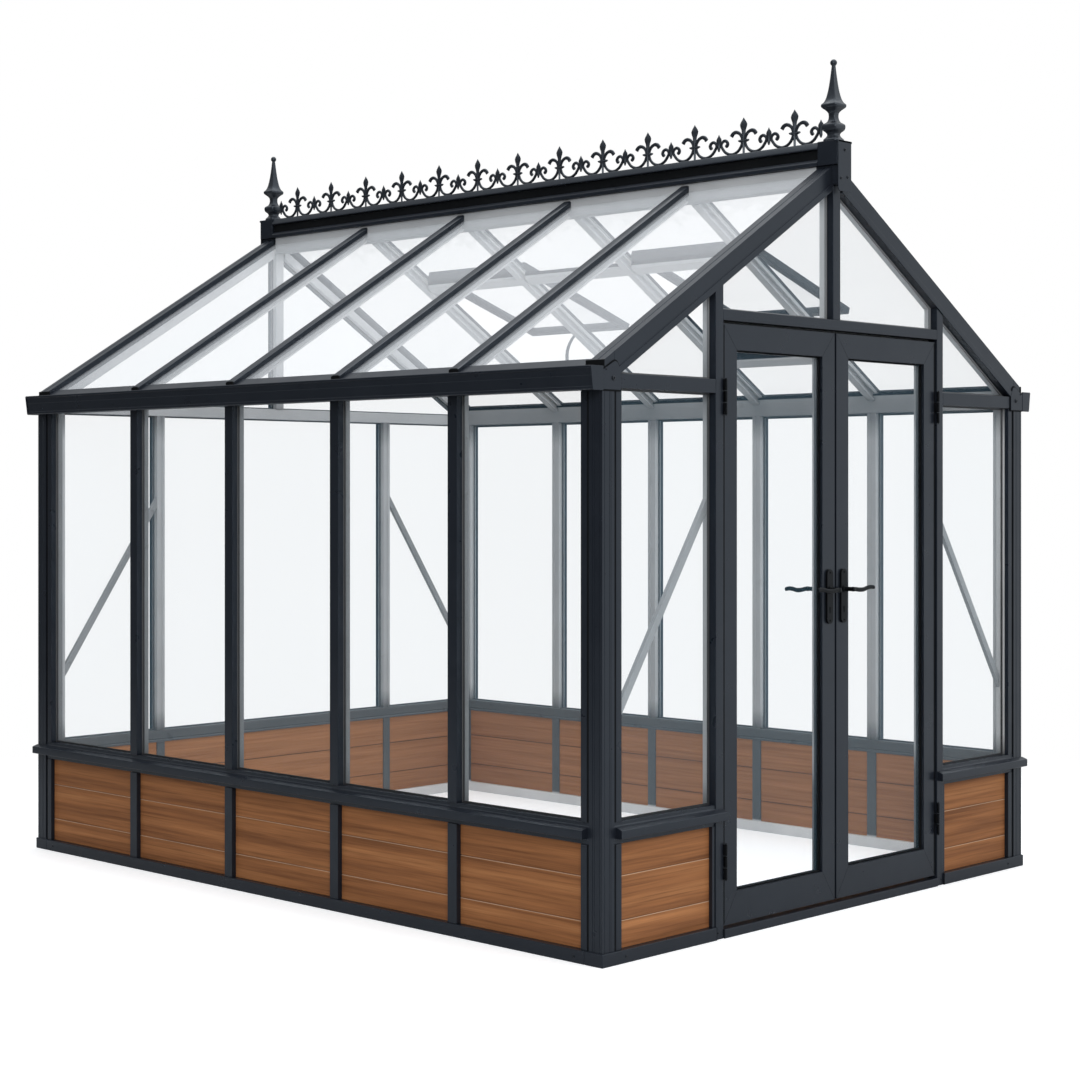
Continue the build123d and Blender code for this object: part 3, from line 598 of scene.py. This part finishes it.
for sx in (-1, 1):
    prism(b, [P(sx * (XO + o), -Y_IN, z) for o, z in RAIL], [P(sx * (XO + o), Y_IN, z) for o, z in RAIL], 1.0)
    prism(b, [P(sx * (XO + o), -Y_IN + GAP, z) for o, z in NOSE], [P(sx * (XO + o), BY - 0.3, z) for o, z in NOSE], 0.8)
piece("side_sills_made", b, COAT, "house", ["side_sills"])
b = bmesh.new()
for sx in (-1, 1):
    prism(b, [P(sx * X_IN, -YO - o, z) for o, z in RAIL], [P(sx * DPO, -YO - o, z) for o, z in RAIL], 1.0)
    end = BX - 0.3 if sx > 0 else X_IN - GAP
    prism(b, [P(sx * end, -YO - o, z) for o, z in NOSE], [P(sx * (DPI + 2), -YO - o, z) for o, z in NOSE], 0.8)
prism(b, [P(-X_IN, YO + o, z) for o, z in RAIL], [P(X_IN, YO + o, z) for o, z in RAIL], 1.0)
prism(b, [P(-X_IN + GAP, YO + o, z) for o, z in NOSE], [P(X_IN - GAP, YO + o, z) for o, z in NOSE], 0.8)
piece("gable_sills_made", b, COAT, "house", ["gable_sills"])


# ------------------------------------------------------------------ roof: rafters, bars, strips along the eaves
def sloped(dst, section, x0, x1, sx, mm):
    prism(dst, [P(sx * x0, y, roof_z(x0, d)) for d, y in section], [P(sx * x1, y, roof_z(x1, d)) for d, y in section], mm)


b = bmesh.new()
RAF = [(0, 0), (0, 25), (2.5, 25.5), (2.5, 30.5), (0, 31), (0, 60), (72, 60), (72, -4), (51, -4), (51, 0)]
RAF_CAP = [(0, 0), (0, 25), (2.5, 25.5), (2.5, 30.5), (0, 31), (0, 60), (30, 60), (30, 0)]
for sx in (-1, 1):
    for sy in (-1, 1):
        for sec, x0, x1 in ((RAF, RI, EB_IN), (RAF_CAP, EB_IN, BAR_END)):
            s = [(d, sy * (YO - y)) for d, y in sec]
            sloped(b, s, x0, x1, sx, 1.2)
piece("gable_rafters_made", b, COAT, "house", ["gable_rafters"])

RBAR = [(0, -13), (0, 13), (3, 22), (32, 22), (32, 9), (48, 9), (48, 17), (56, 17), (56, -17), (48, -17), (48, -9), (32, -9), (32, -22), (3, -22)]
RBAR_CAP = [(0, -13), (0, 13), (3, 22), (30, 22), (30, -22), (3, -22)]
for side, sx in (("left", -1), ("right", 1)):
    b = bmesh.new()
    for y in BAR_Y:
        for sec, x0, x1 in ((RBAR, RI, EB_IN), (RBAR_CAP, EB_IN, BAR_END)):
            sloped(b, [(d, y + t) for d, t in sec], x0, x1, sx, 1.2)
    piece(side + "_roof_bars_made", b, COAT if side == "left" else COAT_FAR_PAINTED_LIGHT, "house", [side + "_roof_bars"])

b = bmesh.new()
for sx in (-1, 1):
    for y0, y1 in R_BAYS:
        sloped(b, [(13, y0), (13, y1), (20, y1), (20, y0)], 1168.0, 1212.0, sx, 1.5)
piece("eave_glazing_strips", b, COAT, "house")


# ------------------------------------------------------------------ gutters with a rolled lip, and their end plates
TROUGH = [(0.0, 1768.0), (45.0, 1768.0), (47.0, 1770.5), (48.0, 1777.5), (46.6, 1779.0), (46.9, 1781.0), (51.6, 1811.0), (50.5, 1812.6),
          (50.9, 1814.8), (54.0, 1833.0), (57.4, 1834.2), (57.8, 1839.6), (56.4, 1842.0), (51.5, 1842.0), (50.4, 1837.5), (41.5, 1774.5),
          (0.0, 1773.0)]
PLATE = [(0.0, 1766.5), (46.5, 1766.5), (49.0, 1770.0), (57.9, 1838.0), (56.0, 1842.0), (0.0, 1842.0)]
for side, sx in (("left", -1), ("right", 1)):
    b = bmesh.new()
    prism(b, [P(sx * (XO + o), -1554.5, z) for o, z in TROUGH], [P(sx * (XO + o), 1554.5, z) for o, z in TROUGH], 0.6, 1, 25.0)
    for sy in (-1, 1):
        prism(b, [P(sx * (XO + o), sy * 1555.0, z) for o, z in PLATE], [P(sx * (XO + o), sy * 1560.0, z) for o, z in PLATE], 1.2)
    piece(side + "_gutter_made", b, COAT, "house", [side + "_gutter"])


def rounded(poly, radii, n=6):
    out = []
    m = len(poly)
    for i, (p, r) in enumerate(zip(poly, radii)):
        if r <= 0:
            out.append(p)
            continue
        a, c = poly[i - 1], poly[(i + 1) % m]
        u = Vector((a[0] - p[0], a[1] - p[1])).normalized()
        v = Vector((c[0] - p[0], c[1] - p[1])).normalized()
        half = math.acos(max(-1.0, min(1.0, u.dot(v)))) / 2
        cut = r / math.tan(half)
        p0, p1 = Vector(p) + u * cut, Vector(p) + v * cut
        for k in range(n + 1):
            f = k / n
            q = (1 - f) ** 2 * p0 + 2 * f * (1 - f) * Vector(p) + f * f * p1
            out.append((q[0], q[1]))
    return out


bracket = [(-XO + 0.5, EAVE_Z - 6), (-XO + 82, EAVE_Z - 6), (-XO + 82, EAVE_Z + 50), (-XO + 62, roof_z(XO - 62, 26)), (-XO + 0.5, roof_z(XO, 22))]
bracket = rounded(bracket, (3.0, 3.0, 14.0, 18.0, 3.0))
b = bmesh.new()
shade_pads_and_caps = bmesh.new()
mid = (sum(x for x, z in bracket) / len(bracket), sum(z for x, z in bracket) / len(bracket))
for sx in (-1, 1):
    for sy in (-1, 1):
        prism(b, [P(-sx * x, sy * (YO + 1.6), z) for x, z in bracket], [P(-sx * x, sy * (YO + 5), z) for x, z in bracket], 1.2)
        # painted shade: a black plate a little larger than each bracket, behind it, shows as a dark outline round it
        big = [(mid[0] + (x - mid[0]) * 1.10, mid[1] + (z - mid[1]) * 1.12) for x, z in bracket]
        big = [(max(x, -XO + 0.2), z) for x, z in big]
        prism(shade_pads_and_caps, [P(-sx * x, sy * (YO + 0.1), z) for x, z in big], [P(-sx * x, sy * (YO + 1.6), z) for x, z in big], 0.3, 1)
        sec = [(-1.5, sy * (YO + 3)), (-1.5, sy * (YO - 74)), (27, sy * (YO - 74)), (27, sy * (YO + 3))]
        sloped(shade_pads_and_caps, sec, BAR_END, BAR_END + 3.0, sx, 0.5)
    for y in BAR_Y:
        sloped(shade_pads_and_caps, [(0.6, y - 14), (0.6, y + 14), (3, y + 21.6), (29, y + 21.6), (29, y - 21.6), (3, y - 21.6)], BAR_END, BAR_END + 3.0, sx, 0.5)
piece("eave_brackets_made", b, COAT, "house", ["eave_brackets"])
piece("bracket_shade_pads_and_bar_caps", shade_pads_and_caps, RUBBER, "house")

# ------------------------------------------------------------------ glazing seals
def inset(poly, d):
    n = len(poly)
    area = sum(poly[i][0] * poly[(i + 1) % n][1] - poly[(i + 1) % n][0] * poly[i][1] for i in range(n))
    s = 1.0 if area > 0 else -1.0
    lines = []
    for i in range(n):
        (x0, y0), (x1, y1) = poly[i], poly[(i + 1) % n]
        k = math.hypot(x1 - x0, y1 - y0)
        nx, ny = -(y1 - y0) / k * s, (x1 - x0) / k * s
        lines.append((x0 + nx * d, y0 + ny * d, x1 - x0, y1 - y0))
    out = []
    for i in range(n):
        ax, ay, adx, ady = lines[i - 1]
        bx, by, bdx, bdy = lines[i]
        den = adx * bdy - ady * bdx
        t = ((bx - ax) * bdy - (by - ay) * bdx) / den
        out.append((ax + adx * t, ay + ady * t))
    return out


def seal(dst, poly, at, width, d0, d1):
    """Rubber strip round a pane; at(u, v, d) gives the point d in from the pane's plane."""
    inner = inset(poly, width)
    n = len(poly)
    b = bmesh.new()
    rows = [[b.verts.new(at(u, v, d)) for u, v in ring] for ring, d in ((poly, d0), (poly, d1), (inner, d1), (inner, d0))]
    for i in range(n):
        j = (i + 1) % n
        for k in range(4):
            r0, r1 = rows[k], rows[(k + 1) % 4]
            b.faces.new((r0[i], r0[j], r1[j], r1[i]))
    bmesh.ops.recalc_face_normals(b, faces=b.faces)
    merge(dst, b)


def rect(u0, u1, v0, v1):
    return [(u0, v0), (u1, v0), (u1, v1), (u0, v1)]


b = bmesh.new()
# the right and back walls' seals are built apart, to get the grey painted-light copy
far = bmesh.new()
G0, G1 = GLASS_IN, GLASS_IN + GLASS_T
for sx in (-1, 1):
    for y0, y1 in BAYS:
        for d0, d1 in ((G0 - 5, G0),):
            seal(far if sx > 0 else b, rect(y0, y1, TRANSOM_HI, EAVE_Z), lambda u, v, d: P(sx * (XO - d), u, v), 6.0, d0, d1)
wall_rects = [(-1, -X_BAY, -DPO), (-1, DPO, X_BAY), (1, -X_BAY, -DPO), (1, -DPI, DPI), (1, DPO, X_BAY)]
for sy, x0, x1 in wall_rects:
    for d0, d1 in ((G0 - 5, G0),):
        seal(far if sy > 0 else b, rect(x0, x1, TRANSOM_HI, EAVE_Z), lambda u, v, d: P(u, sy * (YO - d), v), 6.0, d0, d1)


def under(x):
    return roof_z(x, RAFTER_D)


X_TIP = (APEX_Z - RAFTER_D / C - EAVE_RAIL_HI) / T
for sx in (-1, 1):
    tri = [(sx * (X_TIP - 3), EAVE_RAIL_HI), (sx * DPO, EAVE_RAIL_HI), (sx * DPO, under(DPO))]
    top = [(sx * DPI, 2052.0), (sx * 21.0, 2052.0), (sx * 21.0, under(30.0)), (sx * 30.0, under(30.0)), (sx * DPI, under(DPI))]
    back = [(sx * (X_TIP - 3), EAVE_RAIL_HI), (sx * 21.0, EAVE_RAIL_HI), (sx * 21.0, under(30.0)), (sx * 30.0, under(30.0))]
    for sy, poly in ((-1, tri), (-1, top), (1, back)):
        seal(far if sy > 0 else b, poly, lambda u, v, d: P(u, sy * (YO - d), v), 6.0, G0 - 5, G0)
piece("glazing_seals", b, RUBBER, "house", (), 30.0, False)
piece("right_and_back_seals_painted_light", far, FAR_SEALS_PAINTED_LIGHT, "house", (), 30.0, False)

GX0, GX1, GZ0, GZ1 = 619.0 - 71.0, 5.0 + 71.0, 144.0, 1922.0
for side, sx in (("left", -1), ("right", 1)):
    b = bmesh.new()
    for d0, d1 in ((LY0 + 11, LY0 + 19), (LY0 + 24, LY0 + 32)):
        seal(b, rect(sx * GX0, sx * GX1, GZ0, GZ1), lambda u, v, d: P(u, d, v), 5.0, d0, d1)
    slab(b, *sorted((sx * 619.0, sx * 612.5)), LY0 - 0.4, LY0 + 1.0, 44.0, 2002.0, 0.3, 1)
    for face, out in ((LY0, -1), (LY1, 1)):
        for (xa, za), (xb, zb) in (((619, 2006), (GX0, GZ1)), ((5, 2006), (GX1, GZ1)), ((619, 40), (GX0, GZ0)), ((5, 40), (GX1, GZ0))):
            k = math.hypot(xb - xa, zb - za)
            ux, uz = (xb - xa) / k, (zb - za) / k
            q = [(xa + ux * 3 - uz * 0.45, za + uz * 3 + ux * 0.45), (xb - ux * 2 - uz * 0.45, zb - uz * 2 + ux * 0.45),
                 (xb - ux * 2 + uz * 0.45, zb - uz * 2 - ux * 0.45), (xa + ux * 3 + uz * 0.45, za + uz * 3 - ux * 0.45)]
            prism(b, [P(sx * x, face - out * 1.0, z) for x, z in q], [P(sx * x, face + out * 0.15, z) for x, z in q], 0.0)
    piece(side + "_door_seals", b, RUBBER, side + "_door", (), 30.0, False)

# ------------------------------------------------------------------ finials: square in plan, waisted, with a ball
FIN = [(0, 27), (8, 27), (14, 22), (23, 17), (32, 20), (40, 28), (47, 30.5), (53, 31), (60, 29.5), (65, 23), (69, 18), (77, 14.5), (86, 13), (94, 13.2),
       (101, 14.5), (110, 21), (119, 31), (123, 33), (127, 33.4), (131, 32.3), (138, 26), (153, 20), (183, 14), (220, 9.5), (257, 6), (270, 5)]
b = bmesh.new()
for sy in (-1, 1):
    prof = curve_points([(z, a, 0.0) for z, a in FIN], 3)
    rings = []
    for p in prof:
        z, a = p[0], max(2.0, p[1])
        c = a * 0.12 + 0.4
        ring = [(a, -a + c), (a, a - c), (a - c, a), (-a + c, a), (-a, a - c), (-a, -a + c), (-a + c, -a), (a - c, -a)]
        rings.append([P(x, sy * FIN_Y + y, RIDGE_TOP + z) for x, y in ring])
    skin(b, rings)
    ball = bmesh.new()
    bmesh.ops.create_uvsphere(ball, u_segments=20, v_segments=12, radius=0.012)
    bmesh.ops.translate(ball, verts=ball.verts, vec=P(0, sy * FIN_Y, RIDGE_TOP + 275.8))
    merge(b, ball)
piece("ridge_finials_made", b, CAST, "house", ["ridge_finials"], 40.0, False)

# ------------------------------------------------------------------ ridge: web, ledge and a sloped cap
b = bmesh.new()
slab(b, -30.0, 30.0, -RY1, RY1, 2520.0, 2588.0, 1.5)
slab(b, -30.0, 30.0, -1500.0, 1500.0, 2588.0, 2646.0, 0.0)
ledge = [(-44.0, 2588.0), (-44.0, 2600.0), (-33.0, 2612.0), (33.0, 2612.0), (44.0, 2600.0), (44.0, 2588.0)]
cap = [(-41.8, 2646.0), (-41.8, 2651.0), (-33.0, 2669.5), (-30.0, 2672.0), (30.0, 2672.0), (33.0, 2669.5), (41.8, 2651.0), (41.8, 2646.0)]
for sec in (ledge, cap):
    prism(b, [P(x, -1500.0, z) for x, z in sec], [P(x, 1500.0, z) for x, z in sec], 1.0)
piece("ridge_beam_made", b, COAT, "house", ["ridge_beam"])
# painted light: thin pale plates on the sides and underside of the ridge web
b = bmesh.new()
for sx in (-1, 1):
    slab(b, *sorted((sx * 29.6, sx * 30.8)), -YO + 66.0, YO - 66.0, 2521.0, 2587.0, 0.3, 1)
slab(b, -29.0, 29.0, -YO + 66.0, YO - 66.0, 2519.4, 2521.0, 0.3, 1)
piece("ridge_underside_painted_light_plates", b, RIDGE_PAINTED_LIGHT, "house")

# ------------------------------------------------------------------ cresting
N_LARGE = 13
STEP = 2 * (FIN_Y - 54.0) / N_LARGE
H = STEP / 2
crest = bmesh.new()


def tube(y0, flip, pts, w, t, n=6, sides=8, steps=5):
    """Cast strip along points in y, z; w half widths in the plane, t half thickness across it."""
    line = curve_points([(y, z, 0.0) for y, z in pts], steps)
    ws = curve_points([(v, 0.0, 0.0) for v in w], steps * (len(pts) - 1) // (len(w) - 1))
    rings = []
    m = len(line)
    for i, p in enumerate(line):
        a, c = line[max(0, i - 1)], line[min(m - 1, i + 1)]
        dy, dz = c[0] - a[0], c[1] - a[1]
        k = math.hypot(dy, dz) or 1.0
        ny, nz = -dz / k, dy / k
        hw = ws[min(i, len(ws) - 1)][0]
        ht = t * min(1.0, 0.45 + hw / 8.0)
        ring = []
        for s in range(sides):
            q = 2 * math.pi * s / sides
            ring.append(P(ht * math.sin(q), y0 + flip * (p[0] + ny * hw * math.cos(q)), RIDGE_TOP + p[1] + nz * hw * math.cos(q)))
        rings.append(ring)
    skin(crest, rings)


def leaf(y0, levels, t):
    """Pointed leaf with a raised middle line on each face."""
    rings = []
    for z, hw, k in levels:
        rings.append([P(0, y0 + hw, RIDGE_TOP + z), P(t * k, y0, RIDGE_TOP + z), P(0, y0 - hw, RIDGE_TOP + z), P(-t * k, y0, RIDGE_TOP + z)])
    skin(crest, rings)


def large(y0):
    leaf(y0, [(52, 9.0, 0.9), (66, 9.0, 1.0), (80, 9.0, 1.0), (90, 10.5, 1.05), (100, 15.0, 1.2), (109, 17.0, 1.2), (117, 13.5, 1.0), (126, 6.5, 0.7),
              (134.4, 0.6, 0.15)], 6.0)
    leaf(y0, [(0, 5.4, 0.8), (14, 5.4, 0.9), (34, 6.0, 1.0), (52, 9.0, 0.9)], 5.4)
    for s in (-1, 1):
        tube(y0, s, [(6, 54), (10, 67), (20, 79), (35, 84.5), (48, 80.5), (56, 71)], [5.0, 6.0, 6.4, 6.8, 8.0, 8.6], 5.2)
        tube(y0, s, [(2, 50), (13, 50.5), (23, 52)], [6.4, 5.8, 3.0], 5.4)
        arm = [(6, 46), (12, 30), (26, 15), (45, 7.0), (64, 7.5), (83, 16), (H - 19, 29), (H - 11, 42), (H - 14, 53), (H - 25, 59.5), (H - 36, 56), (H - 41, 47),
               (H - 37, 40), (H - 32, 41)]
        tube(y0, s, arm, [5.6, 5.6, 5.6, 5.6, 5.6, 5.6, 5.6, 5.6, 5.8, 6.0, 6.2, 6.8, 7.6, 5.4], 5.0)


def small(y0):
    leaf(y0, [(22, 3.0, 0.5), (31, 7.0, 0.9), (41, 6.6, 0.9), (49, 7.6, 1.0), (57, 11.0, 1.0), (64, 12.6, 1.0), (70, 10.5, 0.9), (77, 5.0, 0.7), (85, 0.6, 0.15)], 5.4)


for i in range(N_LARGE):
    large((i - (N_LARGE - 1) / 2) * STEP)
for i in range(N_LARGE + 1):
    small((i - N_LARGE / 2) * STEP)
piece("ridge_cresting_made", crest, CAST, "house", ["ridge_cresting"], 38.0, False)


# ------------------------------------------------------------------ levers
def lever(side, sx):
    b = bmesh.new()
    for face, out in ((LY0 - 8.0, -1), (LY1 + 8.0, 1)):
        hub = []
        for d, r in ((0.6, 10.5), (4.0, 10.5), (6.0, 8.2), (28.0, 7.4), (36.0, 8.4), (43.0, 8.0), (44.0, 6.0)):
            hub.append([P(sx * SPX + r * math.cos(q), face + out * d, HANDLE_Z + r * math.sin(q))
                        for q in (2 * math.pi * k / 16 for k in range(16))])
        skin(b, hub)
        line = curve_points([(4, 0, 0), (-14, -0.4, 0), (-38, -3, 0), (-62, -2.6, 0), (-84, 2.2, 0), (-104, 4.4, 0), (-120, 3.4, 0), (-125, 2.6, 0)], 5)
        rings = []
        m = len(line)
        for i, p in enumerate(line):
            f = i / (m - 1)
            hh = 7.6 - 0.8 * f + 0.6 * math.sin(math.pi * f)
            ht = 6.0 - 0.8 * f
            if i >= m - 3:
                k = (0.97, 0.84, 0.45)[i - (m - 3)]
                hh, ht = hh * k, ht * k
            rings.append([P(sx * (SPX - p[0]), face + out * 38.0 + ht * math.sin(q), HANDLE_Z + p[1] + hh * math.cos(q))
                          for q in (2 * math.pi * s / 14 for s in range(14))])
        skin(b, rings)
    spin = [[P(sx * SPX + 4.6 * math.cos(q), y, HANDLE_Z + 4.6 * math.sin(q)) for q in (2 * math.pi * k / 12 for k in range(12))]
            for y in (LY0 - 10, LY1 + 10)]
    skin(b, spin)
    piece(side + "_door_lever_made", b, BLACK, side + "_lever", [side + "_door_lever"], 40.0, False)


lever("left", -1)
lever("right", 1)


# ------------------------------------------------------------------ screws, bolts and keyholes
def button(dst, at, normal, r, h, n=12):
    normal = Vector(normal).normalized()
    u = normal.orthogonal().normalized()
    v = normal.cross(u)
    at = Vector(at)
    rings = []
    for k, d in ((1.0, -0.0005), (1.0, h * 0.35), (0.86, h * 0.8), (0.55, h), (0.45, h), (0.40, h * 0.45)):
        rings.append([at + normal * d + (u * math.cos(q) + v * math.sin(q)) * r * k for q in (2 * math.pi * s / n for s in range(n))])
    skin(dst, rings)


b = bmesh.new()
for sx in (-1, 1):
    for sy in (-1, 1):
        button(b, P(sx * BX, sy * (BY - 120), 21), (sx, 0, 0), 0.0045, 0.0022)
        button(b, P(sx * (BX - 110), sy * BY, 21), (0, sy, 0), 0.0045, 0.0022)
        button(b, P(sx * (XO - 46), sy * (YO + 5), 1806), (0, sy, 0), 0.0075, 0.004)
        button(b, P(sx * (XO - 14), sy * (YO + 5), 1832), (0, sy, 0), 0.0035, 0.002)
for sx in (-1, 1):
    for z in (14.0,):
        button(b, P(sx * (DPO - 12), -YO, z + 8), (0, -1, 0), 0.004, 0.002)
for sy in (-1, 1):
    for x, z in ((0.0, 2640.0), (-22.0, 2540.0), (16.0, 2546.0)):
        button(b, P(x, sy * (RY1 + (4 if sy < 0 else 1)), z), (0, sy, 0), 0.0055, 0.003)
piece("screws_and_bolts", b, STEEL, "house", (), 40.0, False)
b = bmesh.new()
for sx in (-1, 1):
    for sy in (-1, 1):
        for f in (0.05, 0.95):
            x = X_BAY + (DPO - X_BAY) * f
            z = 720.0 + (1410.0 - 720.0) * f
            button(b, P(sx * x, sy * (YO - BAR_D), z), (0, -sy, 0), 0.0065, 0.0035)
piece("brace_bolts", b, COAT_BRACE, "house", (), 40.0, False)

b = bmesh.new()
for sy in (-1, 1):
    slab(b, -42.0, 42.0, *sorted((sy * (RY1 - 10), sy * (RY1 + 4))), RIDGE_TOP - 8, RIDGE_TOP, 1.5)
piece("ridge_end_lips", b, COAT, "house")
# painted shade: a black facing on the ridge web at the back of the recess under the cap
b = bmesh.new()
for sx in (-1, 1):
    slab(b, *sorted((sx * 29.0, sx * 31.2)), -1499.0, 1499.0, 2611.0, 2645.6, 0.5, 1)
piece("ridge_recess_painted_shade", b, RUBBER, "house")

for side, sx in (("left", -1), ("right", 1)):
    b = bmesh.new()
    for face, out in ((LY0 - 8.0, -1), (LY1 + 8.0, 1)):
        at = P(sx * SPX, face, HANDLE_Z - 72)
        outline = [(5.2 * math.cos(q), 8 + 5.2 * math.sin(q)) for q in (math.pi * (-0.22 + 1.44 * k / 12) for k in range(13))] + [(-2.6, -9), (2.6, -9)]
        prism(b, [P(sx * SPX + x, face + out * 0.0, HANDLE_Z - 72 + z) for x, z in outline],
              [P(sx * SPX + x, face + out * 1.0, HANDLE_Z - 72 + z) for x, z in outline], 0.2)
        for z in (1176.0, 1010.0):
            button(b, P(sx * SPX, face, z), (0, out, 0), 0.0035, 0.0016)
    piece(side + "_door_keyholes", b, RUBBER, side + "_door", (), 40.0, False)

# ------------------------------------------------------------------ floor, light and camera
me = bpy.data.meshes.new("floor")
rim = [(5.2 * math.cos(2 * math.pi * k / 96), 5.2 * math.sin(2 * math.pi * k / 96), 0.0) for k in range(96)]
me.from_pydata(rim, [], [tuple(range(96))])
floor = bpy.data.objects.new("floor", me)
bpy.context.scene.collection.objects.link(floor)
m, nt, sh = new_mat("pale_floor")
pale = ramp(nt, noise(nt, object_coords(nt), 0.6, 2.0), [(0.3, (0.90, 0.905, 0.91)), (0.7, (0.93, 0.93, 0.935))])
sh.inputs["Roughness"].default_value = 0.9
sh.inputs["Specular IOR Level"].default_value = 0.1
sh.inputs["Emission Color"].default_value = (1.0, 1.0, 1.0, 1.0)
seen_directly = nt.nodes.new("ShaderNodeLightPath").outputs["Is Camera Ray"]
nt.links.new(remap(nt, seen_directly, 0.08, 0.30, 0.0, 1.0), sh.inputs["Emission Strength"])
duller = nt.nodes.new("ShaderNodeHueSaturation")
nt.links.new(pale, duller.inputs["Color"])
nt.links.new(remap(nt, seen_directly, 0.55, 1.0, 0.0, 1.0), duller.inputs["Value"])
nt.links.new(duller.outputs[0], sh.inputs["Base Color"])
# the rim fades into the white backdrop
reach = nt.nodes.new("ShaderNodeVectorMath")
reach.operation = "LENGTH"
nt.links.new(object_coords(nt), reach.inputs[0])
gone = math_node(nt, "MULTIPLY", seen_directly, remap(nt, reach.outputs["Value"], 0.0, 1.0, 2.3, 4.2))
nt.links.new(math_node(nt, "SUBTRACT", 1.0, gone), sh.inputs["Alpha"])
me.materials.append(m)

world = bpy.data.worlds.new("studio")
bpy.context.scene.world = world
world.use_nodes = True
nt = world.node_tree
nt.nodes.clear()
out = nt.nodes.new("ShaderNodeOutputWorld")
mix = nt.nodes.new("ShaderNodeMixShader")
seen = nt.nodes.new("ShaderNodeBackground")
seen.inputs[0].default_value = (1.0, 1.0, 1.0, 1.0)
seen.inputs[1].default_value = 1.0
lit = nt.nodes.new("ShaderNodeBackground")
path = nt.nodes.new("ShaderNodeLightPath")
way = nt.nodes.new("ShaderNodeTexCoord").outputs["Generated"]


def toward(direction, lo, hi, a, c):
    d = nt.nodes.new("ShaderNodeVectorMath")
    d.operation = "DOT_PRODUCT"
    d.inputs[1].default_value = Vector(direction).normalized()
    nt.links.new(way, d.inputs[0])
    r = nt.nodes.new("ShaderNodeMapRange")
    r.interpolation_type = "SMOOTHSTEP"
    for k, v in (("From Min", a), ("From Max", c), ("To Min", lo), ("To Max", hi)):
        r.inputs[k].default_value = v
    nt.links.new(d.outputs["Value"], r.inputs["Value"])
    return r.outputs["Result"]


glow = math_node(nt, "ADD", toward((0.79, -0.575, 0.22), 0.13, 0.92, 0.35, 0.95), toward((0.0, 0.0, 1.0), 0.0, 1.0, 0.15, 0.95))
lit.inputs[0].default_value = (0.94, 0.97, 1.0, 1.0)
nt.links.new(glow, lit.inputs[1])
nt.links.new(path.outputs["Is Camera Ray"], mix.inputs[0])
nt.links.new(lit.outputs[0], mix.inputs[1])
nt.links.new(seen.outputs[0], mix.inputs[2])
nt.links.new(mix.outputs[0], out.inputs[0])


def softbox(name, loc, target, size, power):
    li = bpy.data.lights.new(name, "AREA")
    li.shape = "RECTANGLE"
    li.size, li.size_y = size
    li.energy = power
    o = bpy.data.objects.new(name, li)
    o.location = loc
    o.rotation_euler = (Vector(target) - Vector(loc)).to_track_quat("-Z", "Y").to_euler()
    bpy.context.scene.collection.objects.link(o)
    o.visible_camera = False
    return o


softbox("front", (-7.6, -8.6, 5.2), (0, 0, 1.0), (5.0, 4.0), 520.0)
softbox("overhead", (0.0, 0.0, 8.5), (0, 0, 0), (7.0, 7.0), 260.0)

cam = bpy.data.cameras.new("photo_view")
cam.lens = 36.0 * 2092.0 / 1080.0
cam.sensor_width = 36.0
cam.shift_y = -(540.0 - 489.15) / 1080.0
cam.clip_end = 200.0
co = bpy.data.objects.new("photo_view", cam)
co.location = (-5.9542, -5.8421, 1.4645)
co.rotation_euler = (math.pi / 2, 0.0, -0.805)
bpy.context.scene.collection.objects.link(co)
bpy.context.scene.camera = co
bpy.context.scene.view_settings.view_transform = "Standard"
cy = bpy.context.scene.cycles
cy.max_bounces, cy.diffuse_bounces, cy.glossy_bounces, cy.transmission_bounces = 4, 3, 1, 0
cy.transparent_max_bounces = 24
cy.caustics_reflective = cy.caustics_refractive = False
